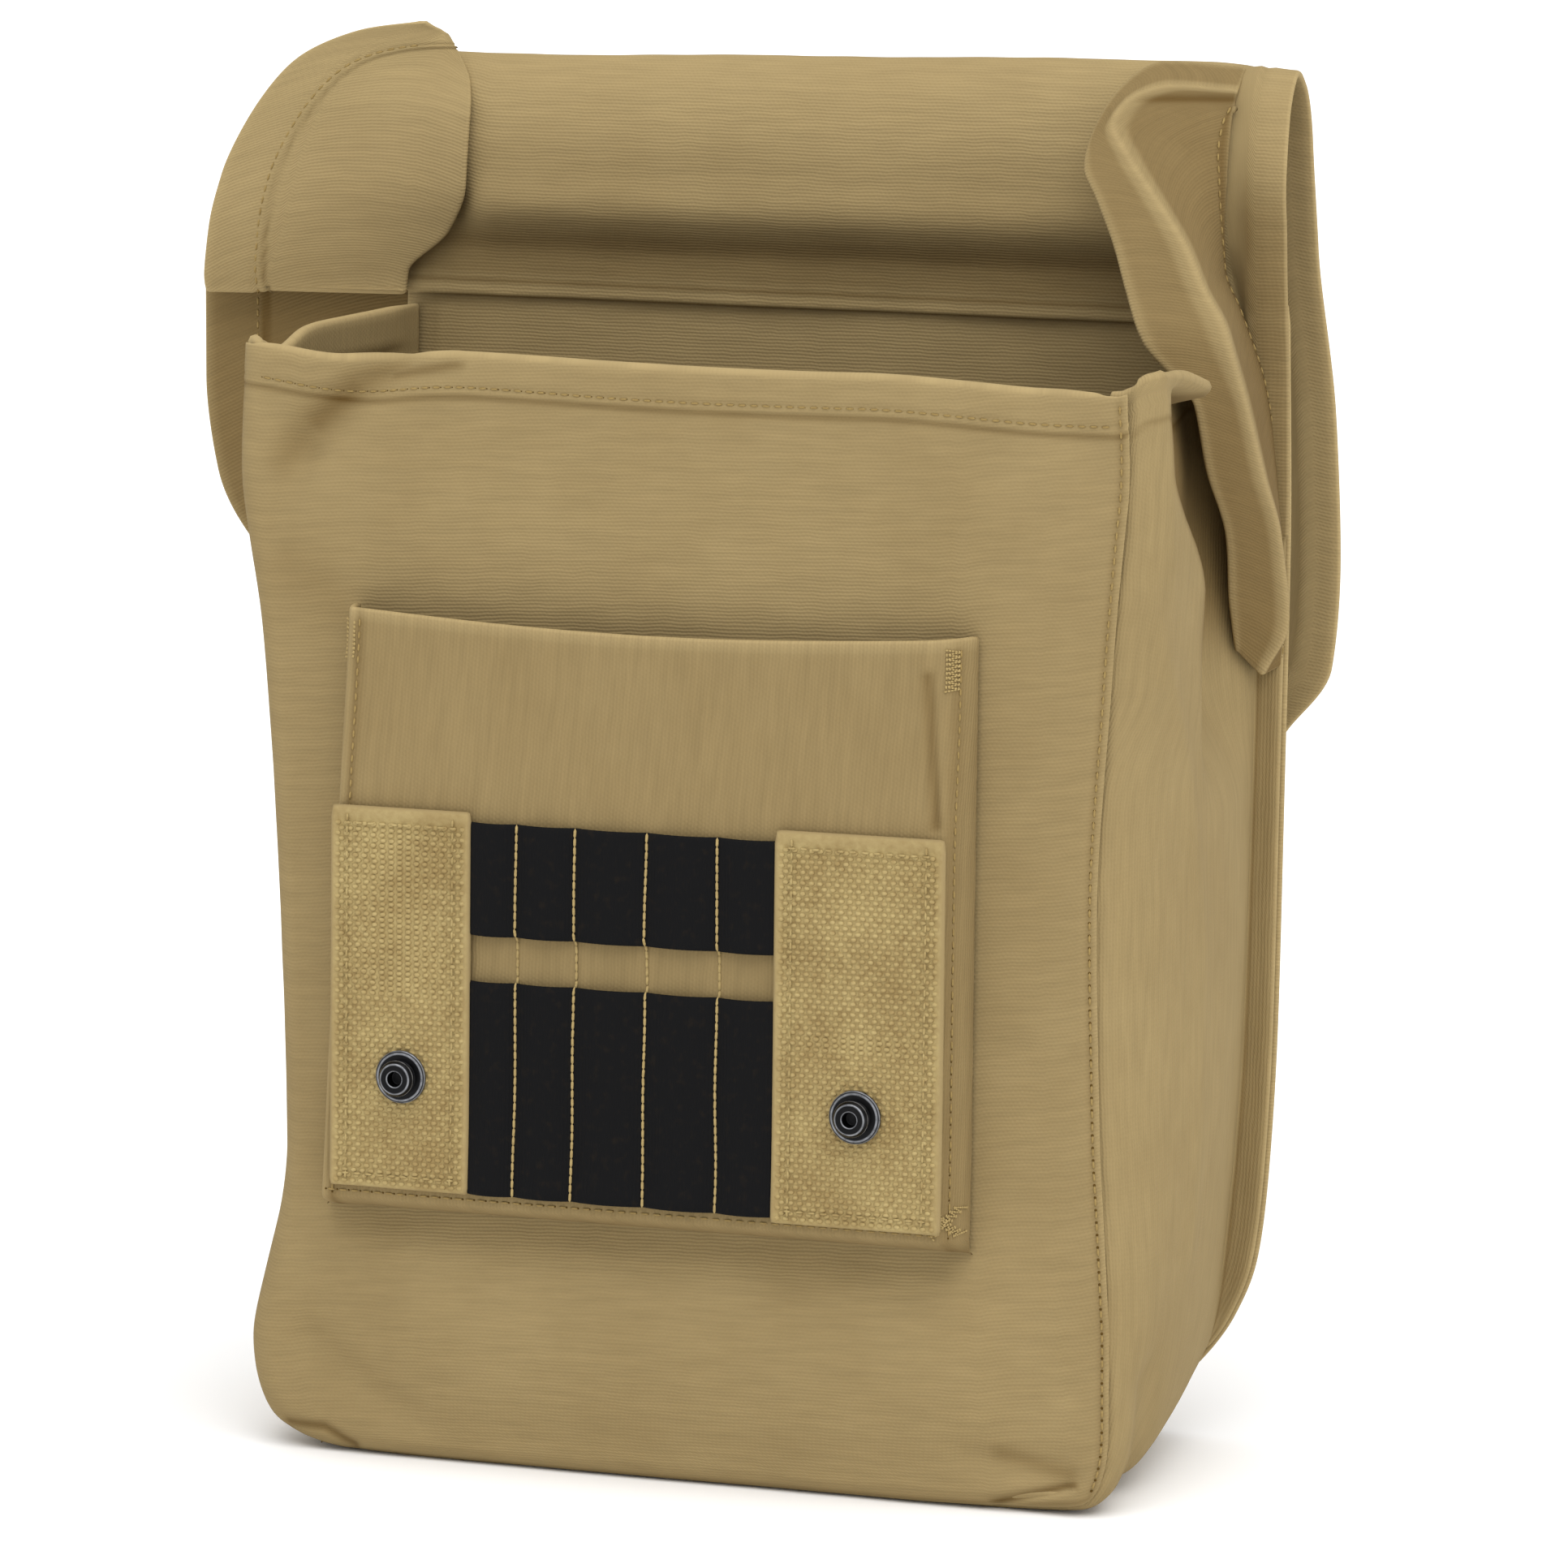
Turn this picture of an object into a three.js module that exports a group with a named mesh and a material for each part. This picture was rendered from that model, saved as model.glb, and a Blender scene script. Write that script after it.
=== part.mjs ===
// A canvas map case that stands open, with its flap thrown back over the rear.
// Millimetres, +X to the right seen from the front, +Y to the back, +Z up.
// The origin is on the floor, in the middle of the flat underside.
import * as THREE from 'three';

// Driving dimensions
const FRONT_PLANE = -50;
const BACK_SEAM = 50;
const CANVAS = 1.6;
const HEM = 3.0;
const WEBBING = 2.0;
const ELASTIC = 1.2;
const GAP = 0.4;
const STEP = 1e-3;

// Gusset outline, one row for each station from the left end of the mouth, down, under and up to the right.
// front and rear are x and z of the outline at the front edge and at the rear seam, roll the half axes of the
// rounded front edge (inwards and deep), seam the angle round that edge where the front panel is sewn on, and
// hold the share of the depth that keeps the front outline before it turns to the rear one.
const GUSSET = [
  { at: 'left mouth', front: [-115, 265], rear: [-110, 266], roll: [6, 8], seam: 70, hold: 0.3 },
  { at: 'left chest', front: [-116.5, 235], rear: [-110, 236], roll: [6, 9], seam: 70, hold: 0.3 },
  { at: 'left shoulder', front: [-111.5, 194], rear: [-109, 195], roll: [7, 12], seam: 70, hold: 0.3 },
  { at: 'left waist', front: [-107.5, 128], rear: [-107, 130], roll: [8, 14], seam: 70, hold: 0.3 },
  { at: 'left hip', front: [-106, 72], rear: [-105.5, 80], roll: [8, 14], seam: 70, hold: 0.2 },
  { at: 'left bulge', front: [-113.5, 33], rear: [-101.5, 50], roll: [9, 14], seam: 70, hold: 0.1 },
  { at: 'left heel', front: [-103, 11.5], rear: [-91, 26], roll: [9, 13], seam: 72, hold: 0.1 },
  { at: 'left foot', front: [-79, 3.5], rear: [-68, 10], roll: [8, 11], seam: 75, hold: 0.3 },
  { at: 'base left', front: [-45, 0], rear: [-40, 7.5], roll: [8, 10], seam: 75, hold: 0.55 },
  { at: 'base middle', front: [5, 0], rear: [0, 7.5], roll: [8, 10], seam: 75, hold: 0.55 },
  { at: 'base right', front: [55, 0], rear: [40, 7.5], roll: [8, 10], seam: 72, hold: 0.55 },
  { at: 'right foot', front: [97, 1], rear: [68, 10], roll: [7, 9], seam: 62, hold: 0 },
  { at: 'right heel', front: [107.5, 11], rear: [91, 27], roll: [6, 9], seam: 38, hold: 0 },
  { at: 'right hip', front: [110.5, 42], rear: [102, 55], roll: [9, 18], seam: 22, hold: 0.1 },
  { at: 'right waist', front: [112, 93], rear: [105, 98], roll: [15, 36], seam: 17, hold: 0.2 },
  { at: 'right ridge', front: [112.5, 145], rear: [106, 146], roll: [17, 38], seam: 17, hold: 0.3 },
  { at: 'right shoulder', front: [114.5, 195], rear: [107, 196], roll: [14, 22], seam: 20, hold: 0.3 },
  { at: 'right chest', front: [117.5, 238], rear: [108, 238], roll: [12, 11], seam: 22, hold: 0.3 },
  { at: 'right mouth', front: [115, 267], rear: [109, 268], roll: [10, 8], seam: 24, hold: 0.3 },
];
const LAST_STATION = GUSSET.length - 1;
const STEPS_PER_STATION = 3;
const BOTTOM_LEFT_STATION = 20 / STEPS_PER_STATION;
const BOTTOM_RIGHT_STATION = 34 / STEPS_PER_STATION;
const ROLL_SHARE = 0.4;
const REAR_TURN = 1.6;
const GUSSET_HEM_STATIONS = 0.36;

// Hollow where the slack right side of the gusset falls in below the mouth, and the sag of the mouth there
const RIGHT_HOLLOW = { depth: 12, z: [158, 196, 246, 262], y: [-38, -12, 22, 50], beak: [-12, 3] };
const RIGHT_MOUTH_SAG = { drop: 8, y: 6, reach: 30, z: [226, 268] };

// Dents and swells of the front wall: a soft line from one x, z to another, its width and its depth inwards
const FRONT_FOLDS = [
  { at: 'corner dent', from: [-70, 266], to: [-103, 236], width: 7, depth: 3.2 },
  { at: 'corner swell', from: [-84, 268], to: [-104, 258], width: 7, depth: -1.2 },
  { at: 'low belly', from: [-60, 38], to: [55, 34], width: 25, depth: -5 },
  { at: 'under pocket', from: [-75, 60], to: [60, 58], width: 7, depth: 2 },
  { at: 'right crease', from: [70, 14], to: [101, 16], width: 7, depth: 2.5 },
  { at: 'left crease', from: [-97, 27], to: [-74, 12], width: 6, depth: 2 },
];
const FOLD_FADE = { rollShare: 0.4, run: 12 };
const MOUTH_DIPS = [
  { at: 'left dip', x: -86, reach: 17, drop: 3 },
  { at: 'middle sag', x: 15, reach: 80, drop: 1.5 },
];
const MOUTH_DIP_Z = [225, 266];
const FRONT_HEM_FROM = 0.94;
const EDGE_SAMPLES = 240;

// Back panel outline, one row for each height
const BACK_OUTLINE = [
  { z: 0, half: 50 },
  { z: 2.5, half: 69 },
  { z: 8, half: 85 },
  { z: 17, half: 97 },
  { z: 30, half: 105 },
  { z: 45, half: 109 },
  { z: 68, half: 111 },
  { z: 105, half: 112.5 },
  { z: 160, half: 113 },
  { z: 215, half: 113.5 },
  { z: 274, half: 113.5 },
];
const BACK_BELLY = { depth: 4, width: 240, height: 280 };

// Flap section, one row for each station from the seam inside the back, over the roll and down behind
const FLAP = [
  { at: 'lip', y: 48.3, z: 270, left: -112, right: 109 },
  { at: 'seam', y: 48.2, z: 277, left: -112.5, right: 110.5 },
  { at: 'rise', y: 47, z: 285, left: -113.5, right: 113 },
  { at: 'belly', y: 43.8, z: 296, left: -115, right: 115 },
  { at: 'brow', y: 43.2, z: 308, left: -116, right: 115.5 },
  { at: 'crown', y: 47, z: 321, left: -116, right: 115 },
  { at: 'top', y: 56, z: 330, left: -116, right: 114 },
  { at: 'turn', y: 65, z: 326, left: -116, right: 113.5 },
  { at: 'nape', y: 71, z: 312, left: -116.5, right: 113.5 },
  { at: 'fall', y: 73.5, z: 286, left: -117, right: 115 },
  { at: 'middle', y: 74, z: 247, left: -118, right: 118 },
  { at: 'low', y: 73, z: 208, left: -119, right: 120.5 },
  { at: 'corner', y: 72, z: 186, left: -117, right: 119 },
  { at: 'round', y: 71.4, z: 171, left: -109, right: 111 },
  { at: 'under', y: 71, z: 160, left: -97, right: 99 },
  { at: 'hem', y: 70.8, z: 153, left: -79, right: 81 },
];
const FLAP_TOP_ROW = 6;
const FLAP_TILT = 0.022;
const FLAP_CORNER = { drop: 3, x: [90, 117] };
const FLAP_LIFT_Z = [285, 318];
const FLAP_HEM_FROM = 0.97;

// Left wing, one row for each station from its low tip up: x, y, z of its free edge and of its bag edge
const LEFT_WING = [
  { at: 'tip', outer: [-120, 53, 189], inner: [-107, 52.7, 187] },
  { at: 'foot', outer: [-138, 53.5, 198], inner: [-107, 52.7, 196] },
  { at: 'round', outer: [-151, 54, 207], inner: [-107, 52.7, 206] },
  { at: 'low', outer: [-159, 54, 223], inner: [-107, 52.7, 222] },
  { at: 'side', outer: [-163, 53.5, 250], inner: [-107, 52.7, 248] },
  { at: 'pleat under', outer: [-163.5, 52.5, 268], inner: [-108, 52.7, 269] },
  { at: 'pleat back', outer: [-163.5, 51.4, 275.5], inner: [-110, 52.4, 278] },
  { at: 'pleat turn', outer: [-163.5, 48.6, 276.5], inner: [-115, 48.6, 280] },
  { at: 'pleat front', outer: [-163.5, 47, 272], inner: [-114.6, 46.4, 275] },
  { at: 'pleat edge', outer: [-163.5, 44.8, 268], inner: [-112, 44.4, 270.5] },
  { at: 'pleat rise', outer: [-163.5, 43, 272], inner: [-110.5, 43, 275] },
  { at: 'brow', outer: [-161, 43.5, 284], inner: [-99, 43.6, 285] },
  { at: 'cheek', outer: [-157, 45, 297], inner: [-94.5, 41.2, 297] },
  { at: 'crown', outer: [-148, 46, 315], inner: [-94, 42, 313] },
  { at: 'shoulder', outer: [-137, 46, 327], inner: [-95, 46.8, 323.5] },
  { at: 'top', outer: [-121, 46.5, 334], inner: [-97, 49.5, 330] },
  { at: 'peak', outer: [-108, 48.5, 336.5], inner: [-100, 51, 334.5] },
];
const LEFT_WING_SWELL = { depth: 5, rows: [9, 12] };

// Right wing, one row for each station from its low tip up: x, y, z of its sewn edge, ridge and free edge
const RIGHT_WING = [
  { at: 'tip', sewn: [114, 50, 188], ridge: [114.6, 48.6, 187], free: [113.2, 47, 187] },
  { at: 'foot', sewn: [114, 50, 202], ridge: [118, 46, 200], free: [111.6, 39, 202] },
  { at: 'low', sewn: [114, 50, 222], ridge: [119, 36, 221], free: [110.6, 25, 222] },
  { at: 'side', sewn: [114, 50, 238], ridge: [118.6, 29, 236], free: [110, 15, 238] },
  { at: 'waist', sewn: [114, 50, 256], ridge: [117.6, 20, 253], free: [110.5, 7, 254] },
  { at: 'hip', sewn: [113, 48, 273], ridge: [114.8, 11, 270.5], free: [101, -1, 269] },
  { at: 'chest', sewn: [106, 46.4, 283], ridge: [109.5, 12, 281], free: [91, 4, 281] },
  { at: 'collar', sewn: [102.5, 44.2, 291], ridge: [102.8, 13.5, 291.5], free: [85.5, 9.5, 291] },
  { at: 'cheek', sewn: [101.5, 42.5, 299], ridge: [94, 17, 302.5], free: [81, 14.5, 301.5] },
  { at: 'brow', sewn: [101, 41.2, 306], ridge: [86.5, 22, 311], free: [75.5, 19.5, 309] },
  { at: 'nose', sewn: [101, 41.3, 311], ridge: [80, 28, 319], free: [73, 26, 315.5] },
  { at: 'crown', sewn: [101, 42.3, 315.5], ridge: [82.5, 35, 325], free: [77, 36, 327] },
  { at: 'top', sewn: [101, 43.3, 319], ridge: [91, 41, 327], free: [88, 43.5, 333] },
  { at: 'end', sewn: [101.5, 44.2, 321.5], ridge: [101.5, 44.5, 326.5], free: [101.5, 47.5, 332.5] },
];

// Pocket outline, how far its face stands off the front wall, and how its walls rise from that wall
const POCKET = { left: [-87, -81], right: 72, bottom: 64.5, top: 204.5, sag: 2 };
const POCKET_STAND = { low: 10, mouth: 8.5, flareZ: 150 };
const POCKET_WALL = { left: 3, right: 6.5, bottom: 4, roundness: 0.7 };
const POCKET_SIDE_STEPS = [0, 0.006, 0.013, 0.022];
const POCKET_RIGHT_STEPS = [0.965, 0.98, 0.991, 1];
const POCKET_FOOT_STEPS = [0, 0.008, 0.017, 0.03];
const POCKET_FACE = { from: 0.06, to: 0.94, low: 0.08 };

// Webbing tabs and elastic rows sewn on the pocket
const WEBBING_LEFT = { left: -82, right: -51.4, bottom: 69.5, top: 158.5 };
const WEBBING_RIGHT = { left: 26, right: 64, bottom: 67.5, top: 158 };
const CHANNEL_SEAMS = [-50.7, -38.5, -24.7, -6.9, 10.3, 25.3];
const CHANNEL_ARCH = { height: 6.2, roundness: 0.8, steps: 6 };
const ELASTIC_UPPER = { bottom: 130.5, top: 156 };
const ELASTIC_LOWER = { bottom: 69, top: 118.5 };

// Snap studs and their mating pieces
const STUD = {
  flange: { radius: 6.3, height: 1.2, bevelRadius: 0.7, bevelHeight: 0.5 },
  neck: { radius: 3.7, height: 0.9 },
  post: { radius: 4.4, top: 4.6, bevelRadius: 0.8, bevelHeight: 1.2 },
  bore: { radius: 1.8, depth: 3 },
};
const STUD_PLACES = [
  { name: 'stud_left', x: -68, z: 96 },
  { name: 'stud_right', x: 45, z: 93 },
];
const SOCKET = { radius: 6.3, height: 3.2, rim: 1, boreRadius: 4, boreDepth: 2 };
const SOCKET_PLACES = [
  { name: 'flap_socket_left', x: -68, z: 165 },
  { name: 'flap_socket_right', x: 45, z: 165 },
];
const ROUND_SIDES = 16;

// Finishes
const CANVAS_FINISH = { color: 0xa8956a, roughness: 0.92, metalness: 0 };
const WEBBING_FINISH = { color: 0xb9a468, roughness: 0.9, metalness: 0 };
const ELASTIC_FINISH = { color: 0x1c1c1e, roughness: 0.85, metalness: 0 };
const STUD_FINISH = { color: 0x232428, roughness: 0.35, metalness: 0.8 };

const { clamp, degToRad, lerp: mix, smoothstep } = THREE.MathUtils;
const spread = (count, place = (t) => t) => Array.from({ length: count + 1 }, (_, i) => place(i / count));
const closeAtEnds = (t) => (1 - Math.cos(Math.PI * t)) / 2;
const bell = (distance, reach) => Math.exp(-((distance / reach) ** 2));

// Smooth value at a fractional row of a table, never past the values of the rows on both sides
function smoothAt(table, pick, row) {
  const last = table.length - 1;
  const low = clamp(Math.floor(row), 0, last - 1);
  const rise = (i) => pick(table[i + 1]) - pick(table[i]);
  const slope = (i) => {
    if (i === 0) return rise(0);
    if (i === last) return rise(last - 1);
    const before = rise(i - 1);
    const after = rise(i);
    return before * after <= 0 ? 0 : (2 * before * after) / (before + after);
  };
  const t = row - low;
  const ease = t * t * (3 - 2 * t);
  const leave = t * (1 - t) * (1 - t);
  const arrive = t * t * (t - 1);
  return mix(pick(table[low]), pick(table[low + 1]), ease) + slope(low) * leave + slope(low + 1) * arrive;
}

function columnAt(table, column, row) {
  return smoothAt(table, (cells) => cells[column], row);
}

function coordinateAt(table, column, axis, row) {
  return smoothAt(table, (cells) => cells[column][axis], row);
}

function pointAt(table, column, row) {
  return new THREE.Vector3(...[0, 1, 2].map((axis) => coordinateAt(table, column, axis, row)));
}

// Outward direction of a surface at one point of its grid
function faceDirection(surface, u, v) {
  const alongU = surface(Math.min(u + STEP, 1), v).sub(surface(Math.max(u - STEP, 0), v));
  const alongV = surface(u, Math.min(v + STEP, 1)).sub(surface(u, Math.max(v - STEP, 0)));
  return alongU.cross(alongV).normalize();
}

// Closed cloth wall behind a surface: the outer face, the inner face and the rim that joins them
function clothWall(surface, us, vs, thickness, direction = faceDirection) {
  const points = [];
  for (const share of [0, 1]) {
    for (const v of vs) {
      for (const u of us) {
        const inwards = direction(surface, u, v).multiplyScalar(-share * thickness(u, v));
        points.push(...surface(u, v).add(inwards).toArray());
      }
    }
  }
  const columns = us.length;
  const rows = vs.length;
  const outer = (i, j) => j * columns + i;
  const inner = (i, j) => rows * columns + j * columns + i;
  const index = [];
  const quad = (a, b, c, d) => index.push(a, b, c, a, c, d);
  for (let j = 0; j < rows - 1; j += 1) {
    for (let i = 0; i < columns - 1; i += 1) {
      quad(outer(i, j), outer(i + 1, j), outer(i + 1, j + 1), outer(i, j + 1));
      quad(inner(i, j), inner(i, j + 1), inner(i + 1, j + 1), inner(i + 1, j));
    }
  }
  const right = columns - 1;
  const top = rows - 1;
  for (let i = 0; i < right; i += 1) {
    quad(outer(i, 0), inner(i, 0), inner(i + 1, 0), outer(i + 1, 0));
    quad(outer(i, top), outer(i + 1, top), inner(i + 1, top), inner(i, top));
  }
  for (let j = 0; j < top; j += 1) {
    quad(outer(0, j), outer(0, j + 1), inner(0, j + 1), inner(0, j));
    quad(outer(right, j), inner(right, j), inner(right, j + 1), outer(right, j + 1));
  }
  const geometry = new THREE.BufferGeometry();
  geometry.setAttribute('position', new THREE.Float32BufferAttribute(points, 3));
  geometry.setIndex(index);
  geometry.computeVertexNormals();
  return geometry;
}

function part(name, geometry, finish) {
  const mesh = new THREE.Mesh(geometry, new THREE.MeshStandardMaterial(finish));
  mesh.name = name;
  return mesh;
}

// Outline of the front edge at one station, with its outward direction and its rounding
function edgeStation(row) {
  const front = (axis, r) => coordinateAt(GUSSET, 'front', axis, r);
  const before = Math.max(row - STEP, 0);
  const after = Math.min(row + STEP, LAST_STATION);
  const tangentX = front(0, after) - front(0, before);
  const tangentZ = front(1, after) - front(1, before);
  const length = Math.hypot(tangentX, tangentZ);
  return {
    x: front(0, row),
    z: front(1, row),
    outX: tangentZ / length,
    outZ: -tangentX / length,
    rollIn: coordinateAt(GUSSET, 'roll', 0, row),
    rollDeep: coordinateAt(GUSSET, 'roll', 1, row),
    seam: degToRad(columnAt(GUSSET, 'seam', row)),
  };
}

// Point on the rounded front edge: angle 0 is on the front face, a quarter turn on the side
function rollPoint(station, angle) {
  const inset = station.rollIn * (1 - Math.sin(angle));
  const y = FRONT_PLANE + station.rollDeep * (1 - Math.cos(angle));
  return new THREE.Vector3(station.x - station.outX * inset, y, station.z - station.outZ * inset);
}

// How far the slack right side falls in, less under the stiff beak of the mouth hem at the front
function rightHollow(y, z) {
  const [endZ, lowZ, fullZ, topZ] = RIGHT_HOLLOW.z;
  const [frontY, fullY, fadeY, rearY] = RIGHT_HOLLOW.y;
  const beak = smoothstep(z, fullZ, topZ) * (1 - smoothstep(y, ...RIGHT_HOLLOW.beak));
  const height = smoothstep(z, endZ, lowZ) * (1 - beak);
  const across = smoothstep(y, frontY, fullY) * (1 - smoothstep(y, fadeY, rearY));
  return RIGHT_HOLLOW.depth * height * across;
}

function rightMouthSag(y, z) {
  const { drop, reach } = RIGHT_MOUTH_SAG;
  return drop * bell(y - RIGHT_MOUTH_SAG.y, reach) * smoothstep(z, ...RIGHT_MOUTH_SAG.z);
}

// Gusset: u runs along the outline, v from the rear seam to the front seam
function gussetSurface(u, v) {
  const row = u * LAST_STATION;
  const station = edgeStation(row);
  const sideShare = 1 - ROLL_SHARE;
  if (v > sideShare) {
    return rollPoint(station, mix(Math.PI / 2, station.seam, (v - sideShare) / ROLL_SHARE));
  }
  const back = 1 - v / sideShare;
  const y = mix(FRONT_PLANE + station.rollDeep, BACK_SEAM, back);
  const hold = columnAt(GUSSET, 'hold', row);
  const turn = Math.max(0, (back - hold) / (1 - hold)) ** REAR_TURN;
  const x = mix(station.x, coordinateAt(GUSSET, 'rear', 0, row), turn);
  const z = mix(station.z, coordinateAt(GUSSET, 'rear', 1, row), turn);
  if (x < 0) return new THREE.Vector3(x, y, z);
  return new THREE.Vector3(x - rightHollow(y, z), y, z - rightMouthSag(y, z));
}

function gusset() {
  const us = spread(LAST_STATION * STEPS_PER_STATION);
  const side = spread(7, (t) => t * (1 - ROLL_SHARE));
  const roll = spread(4, (t) => 1 - ROLL_SHARE * (1 - t));
  const thickness = (u) => (Math.min(u, 1 - u) * LAST_STATION < GUSSET_HEM_STATIONS ? HEM : CANVAS);
  return part('gusset', clothWall(gussetSurface, us, [...side, ...roll.slice(1)], thickness), CANVAS_FINISH);
}

// Depth of the dents and swells of the front wall at one place
function frontRelief(x, z) {
  const place = new THREE.Vector2(x, z);
  return FRONT_FOLDS.reduce((sum, fold) => {
    const from = new THREE.Vector2(...fold.from);
    const run = new THREE.Vector2(...fold.to).sub(from);
    const share = clamp(place.clone().sub(from).dot(run) / run.lengthSq(), 0, 1);
    const distance = place.distanceTo(from.addScaledVector(run, share));
    return sum + fold.depth * bell(distance, fold.width);
  }, 0);
}

// The front panel's own edge, a gap short of the gusset's, with straight steps between the same stations
function frontEdge(row) {
  const steps = row * STEPS_PER_STATION;
  const step = Math.min(Math.floor(steps + STEP), LAST_STATION * STEPS_PER_STATION - 1);
  const at = (count) => {
    const station = edgeStation(count / STEPS_PER_STATION);
    const { rollIn, rollDeep, seam } = station;
    const speed = Math.hypot(rollIn * Math.cos(seam), rollDeep * Math.sin(seam));
    return rollPoint(station, seam - GAP / speed);
  };
  return at(step).lerp(at(step + 1), steps - step);
}

const EDGE_STATIONS = spread(EDGE_SAMPLES, (t) => edgeStation(t * LAST_STATION));

// Depth of the front wall: flat in the middle, rounded towards the nearest edge
function frontDepth(x, z) {
  let nearest = EDGE_STATIONS[0];
  let away = Infinity;
  for (const station of EDGE_STATIONS) {
    const distance = Math.hypot(station.x - x, station.z - z);
    if (distance < away) {
      away = distance;
      nearest = station;
    }
  }
  const { rollIn, rollDeep, outX, outZ } = nearest;
  const inset = (nearest.x - x) * outX + (nearest.z - z) * outZ;
  const share = clamp(1 - inset / rollIn, 0, 1);
  const relief = smoothstep(away, rollIn * FOLD_FADE.rollShare, rollIn + FOLD_FADE.run) * frontRelief(x, z);
  return FRONT_PLANE + rollDeep * (1 - Math.sqrt(1 - share * share)) + relief;
}

function mouthDrop(x) {
  return MOUTH_DIPS.reduce((sum, dip) => sum + dip.drop * bell(x - dip.x, dip.reach), 0);
}

// Station of the gusset at a place on the front panel's own edge
const leftStation = (v) => mix(BOTTOM_LEFT_STATION, 0, v);
const rightStation = (v) => mix(BOTTOM_RIGHT_STATION, LAST_STATION, v);
const bottomStation = (u) => mix(BOTTOM_LEFT_STATION, BOTTOM_RIGHT_STATION, u);

// Front panel: u from left to right, v from the bottom seam to the mouth, blended from its sewn edges
function frontSurface(u, v) {
  const sides = frontEdge(leftStation(v)).lerp(frontEdge(rightStation(v)), u);
  const mouth = frontEdge(0).lerp(frontEdge(LAST_STATION), u);
  const ends = frontEdge(bottomStation(u)).lerp(mouth, v);
  const low = frontEdge(BOTTOM_LEFT_STATION).lerp(frontEdge(BOTTOM_RIGHT_STATION), u);
  const point = sides.add(ends).sub(low.lerp(mouth, v));
  const sewn = u === 0 || u === 1 || v === 0;
  if (!sewn) point.y = frontDepth(point.x, point.z);
  point.z -= mouthDrop(point.x) * smoothstep(point.z, ...MOUTH_DIP_Z);
  return point;
}

// Outward direction of the front panel, taken from the rounded edge where it meets the gusset
function frontDirection(surface, u, v) {
  let row = null;
  if (u === 0) row = leftStation(v);
  else if (u === 1) row = rightStation(v);
  else if (v === 0) row = bottomStation(u);
  if (row === null) return faceDirection(surface, u, v);
  const { outX, outZ, rollIn, rollDeep, seam } = edgeStation(row);
  const sideways = Math.sin(seam) / rollIn;
  return new THREE.Vector3(outX * sideways, -Math.cos(seam) / rollDeep, outZ * sideways).normalize();
}

function frontPanel() {
  const us = spread(18, closeAtEnds);
  const vs = spread(20);
  const thickness = (u, v) => (v > FRONT_HEM_FROM ? HEM : CANVAS);
  return part('front_panel', clothWall(frontSurface, us, vs, thickness, frontDirection), CANVAS_FINISH);
}

// Back panel: u from right to left, v from the foot up
function backSurface(u, v) {
  const row = v * (BACK_OUTLINE.length - 1);
  const half = columnAt(BACK_OUTLINE, 'half', row);
  const z = columnAt(BACK_OUTLINE, 'z', row);
  const x = mix(half, -half, u);
  const across = Math.cos((Math.PI * x) / BACK_BELLY.width) ** 2;
  const along = Math.sin((Math.PI * z) / BACK_BELLY.height) ** 2;
  return new THREE.Vector3(x, BACK_SEAM + GAP + CANVAS + BACK_BELLY.depth * across * along, z);
}

function backPanel() {
  return part('back_panel', clothWall(backSurface, spread(12), spread(18), () => CANVAS), CANVAS_FINISH);
}

// Flap: u from left to right, v along its length from the inner seam
function flapSurface(u, v) {
  const at = (column) => columnAt(FLAP, column, v * (FLAP.length - 1));
  const x = mix(at('left'), at('right'), u);
  const drop = FLAP_CORNER.drop * smoothstep(x, ...FLAP_CORNER.x);
  const lift = (FLAP_TILT * x - drop) * smoothstep(at('z'), ...FLAP_LIFT_Z);
  return new THREE.Vector3(x, at('y'), at('z') + lift);
}

function flap() {
  const thickness = (u, v) => (v > FLAP_HEM_FROM ? HEM : CANVAS);
  return part('flap', clothWall(flapSurface, spread(10), spread(32), thickness), CANVAS_FINISH);
}

// Left wing: u from the free edge to the bag, v from the low tip up
function leftWingSurface(u, v) {
  const row = v * (LEFT_WING.length - 1);
  const point = pointAt(LEFT_WING, 'outer', row).lerp(pointAt(LEFT_WING, 'inner', row), u);
  point.y -= LEFT_WING_SWELL.depth * Math.sin(Math.PI * u) * smoothstep(row, ...LEFT_WING_SWELL.rows);
  return point;
}

function leftWing() {
  return part('left_wing', clothWall(leftWingSurface, spread(7), spread(34), () => CANVAS), CANVAS_FINISH);
}

// Right wing: u from the free edge over the ridge to the sewn edge, v from the low tip up
function rightWingSurface(u, v) {
  const row = v * (RIGHT_WING.length - 1);
  const free = pointAt(RIGHT_WING, 'free', row);
  const sewn = pointAt(RIGHT_WING, 'sewn', row);
  const middle = free.clone().lerp(sewn, 0.5);
  const handle = pointAt(RIGHT_WING, 'ridge', row).multiplyScalar(2).sub(middle);
  return new THREE.QuadraticBezierCurve3(free, handle, sewn).getPoint(u);
}

function rightWing() {
  return part('right_wing', clothWall(rightWingSurface, spread(7), spread(28), () => CANVAS), CANVAS_FINISH);
}

// Flat of the front pocket, which stands off the front wall
function pocketStand(z) {
  return mix(POCKET_STAND.low, POCKET_STAND.mouth, smoothstep(z, POCKET_STAND.flareZ, POCKET.top));
}

function pocketFlat(x, z) {
  return FRONT_PLANE + frontRelief(x, z) - GAP - CANVAS - pocketStand(z);
}

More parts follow.
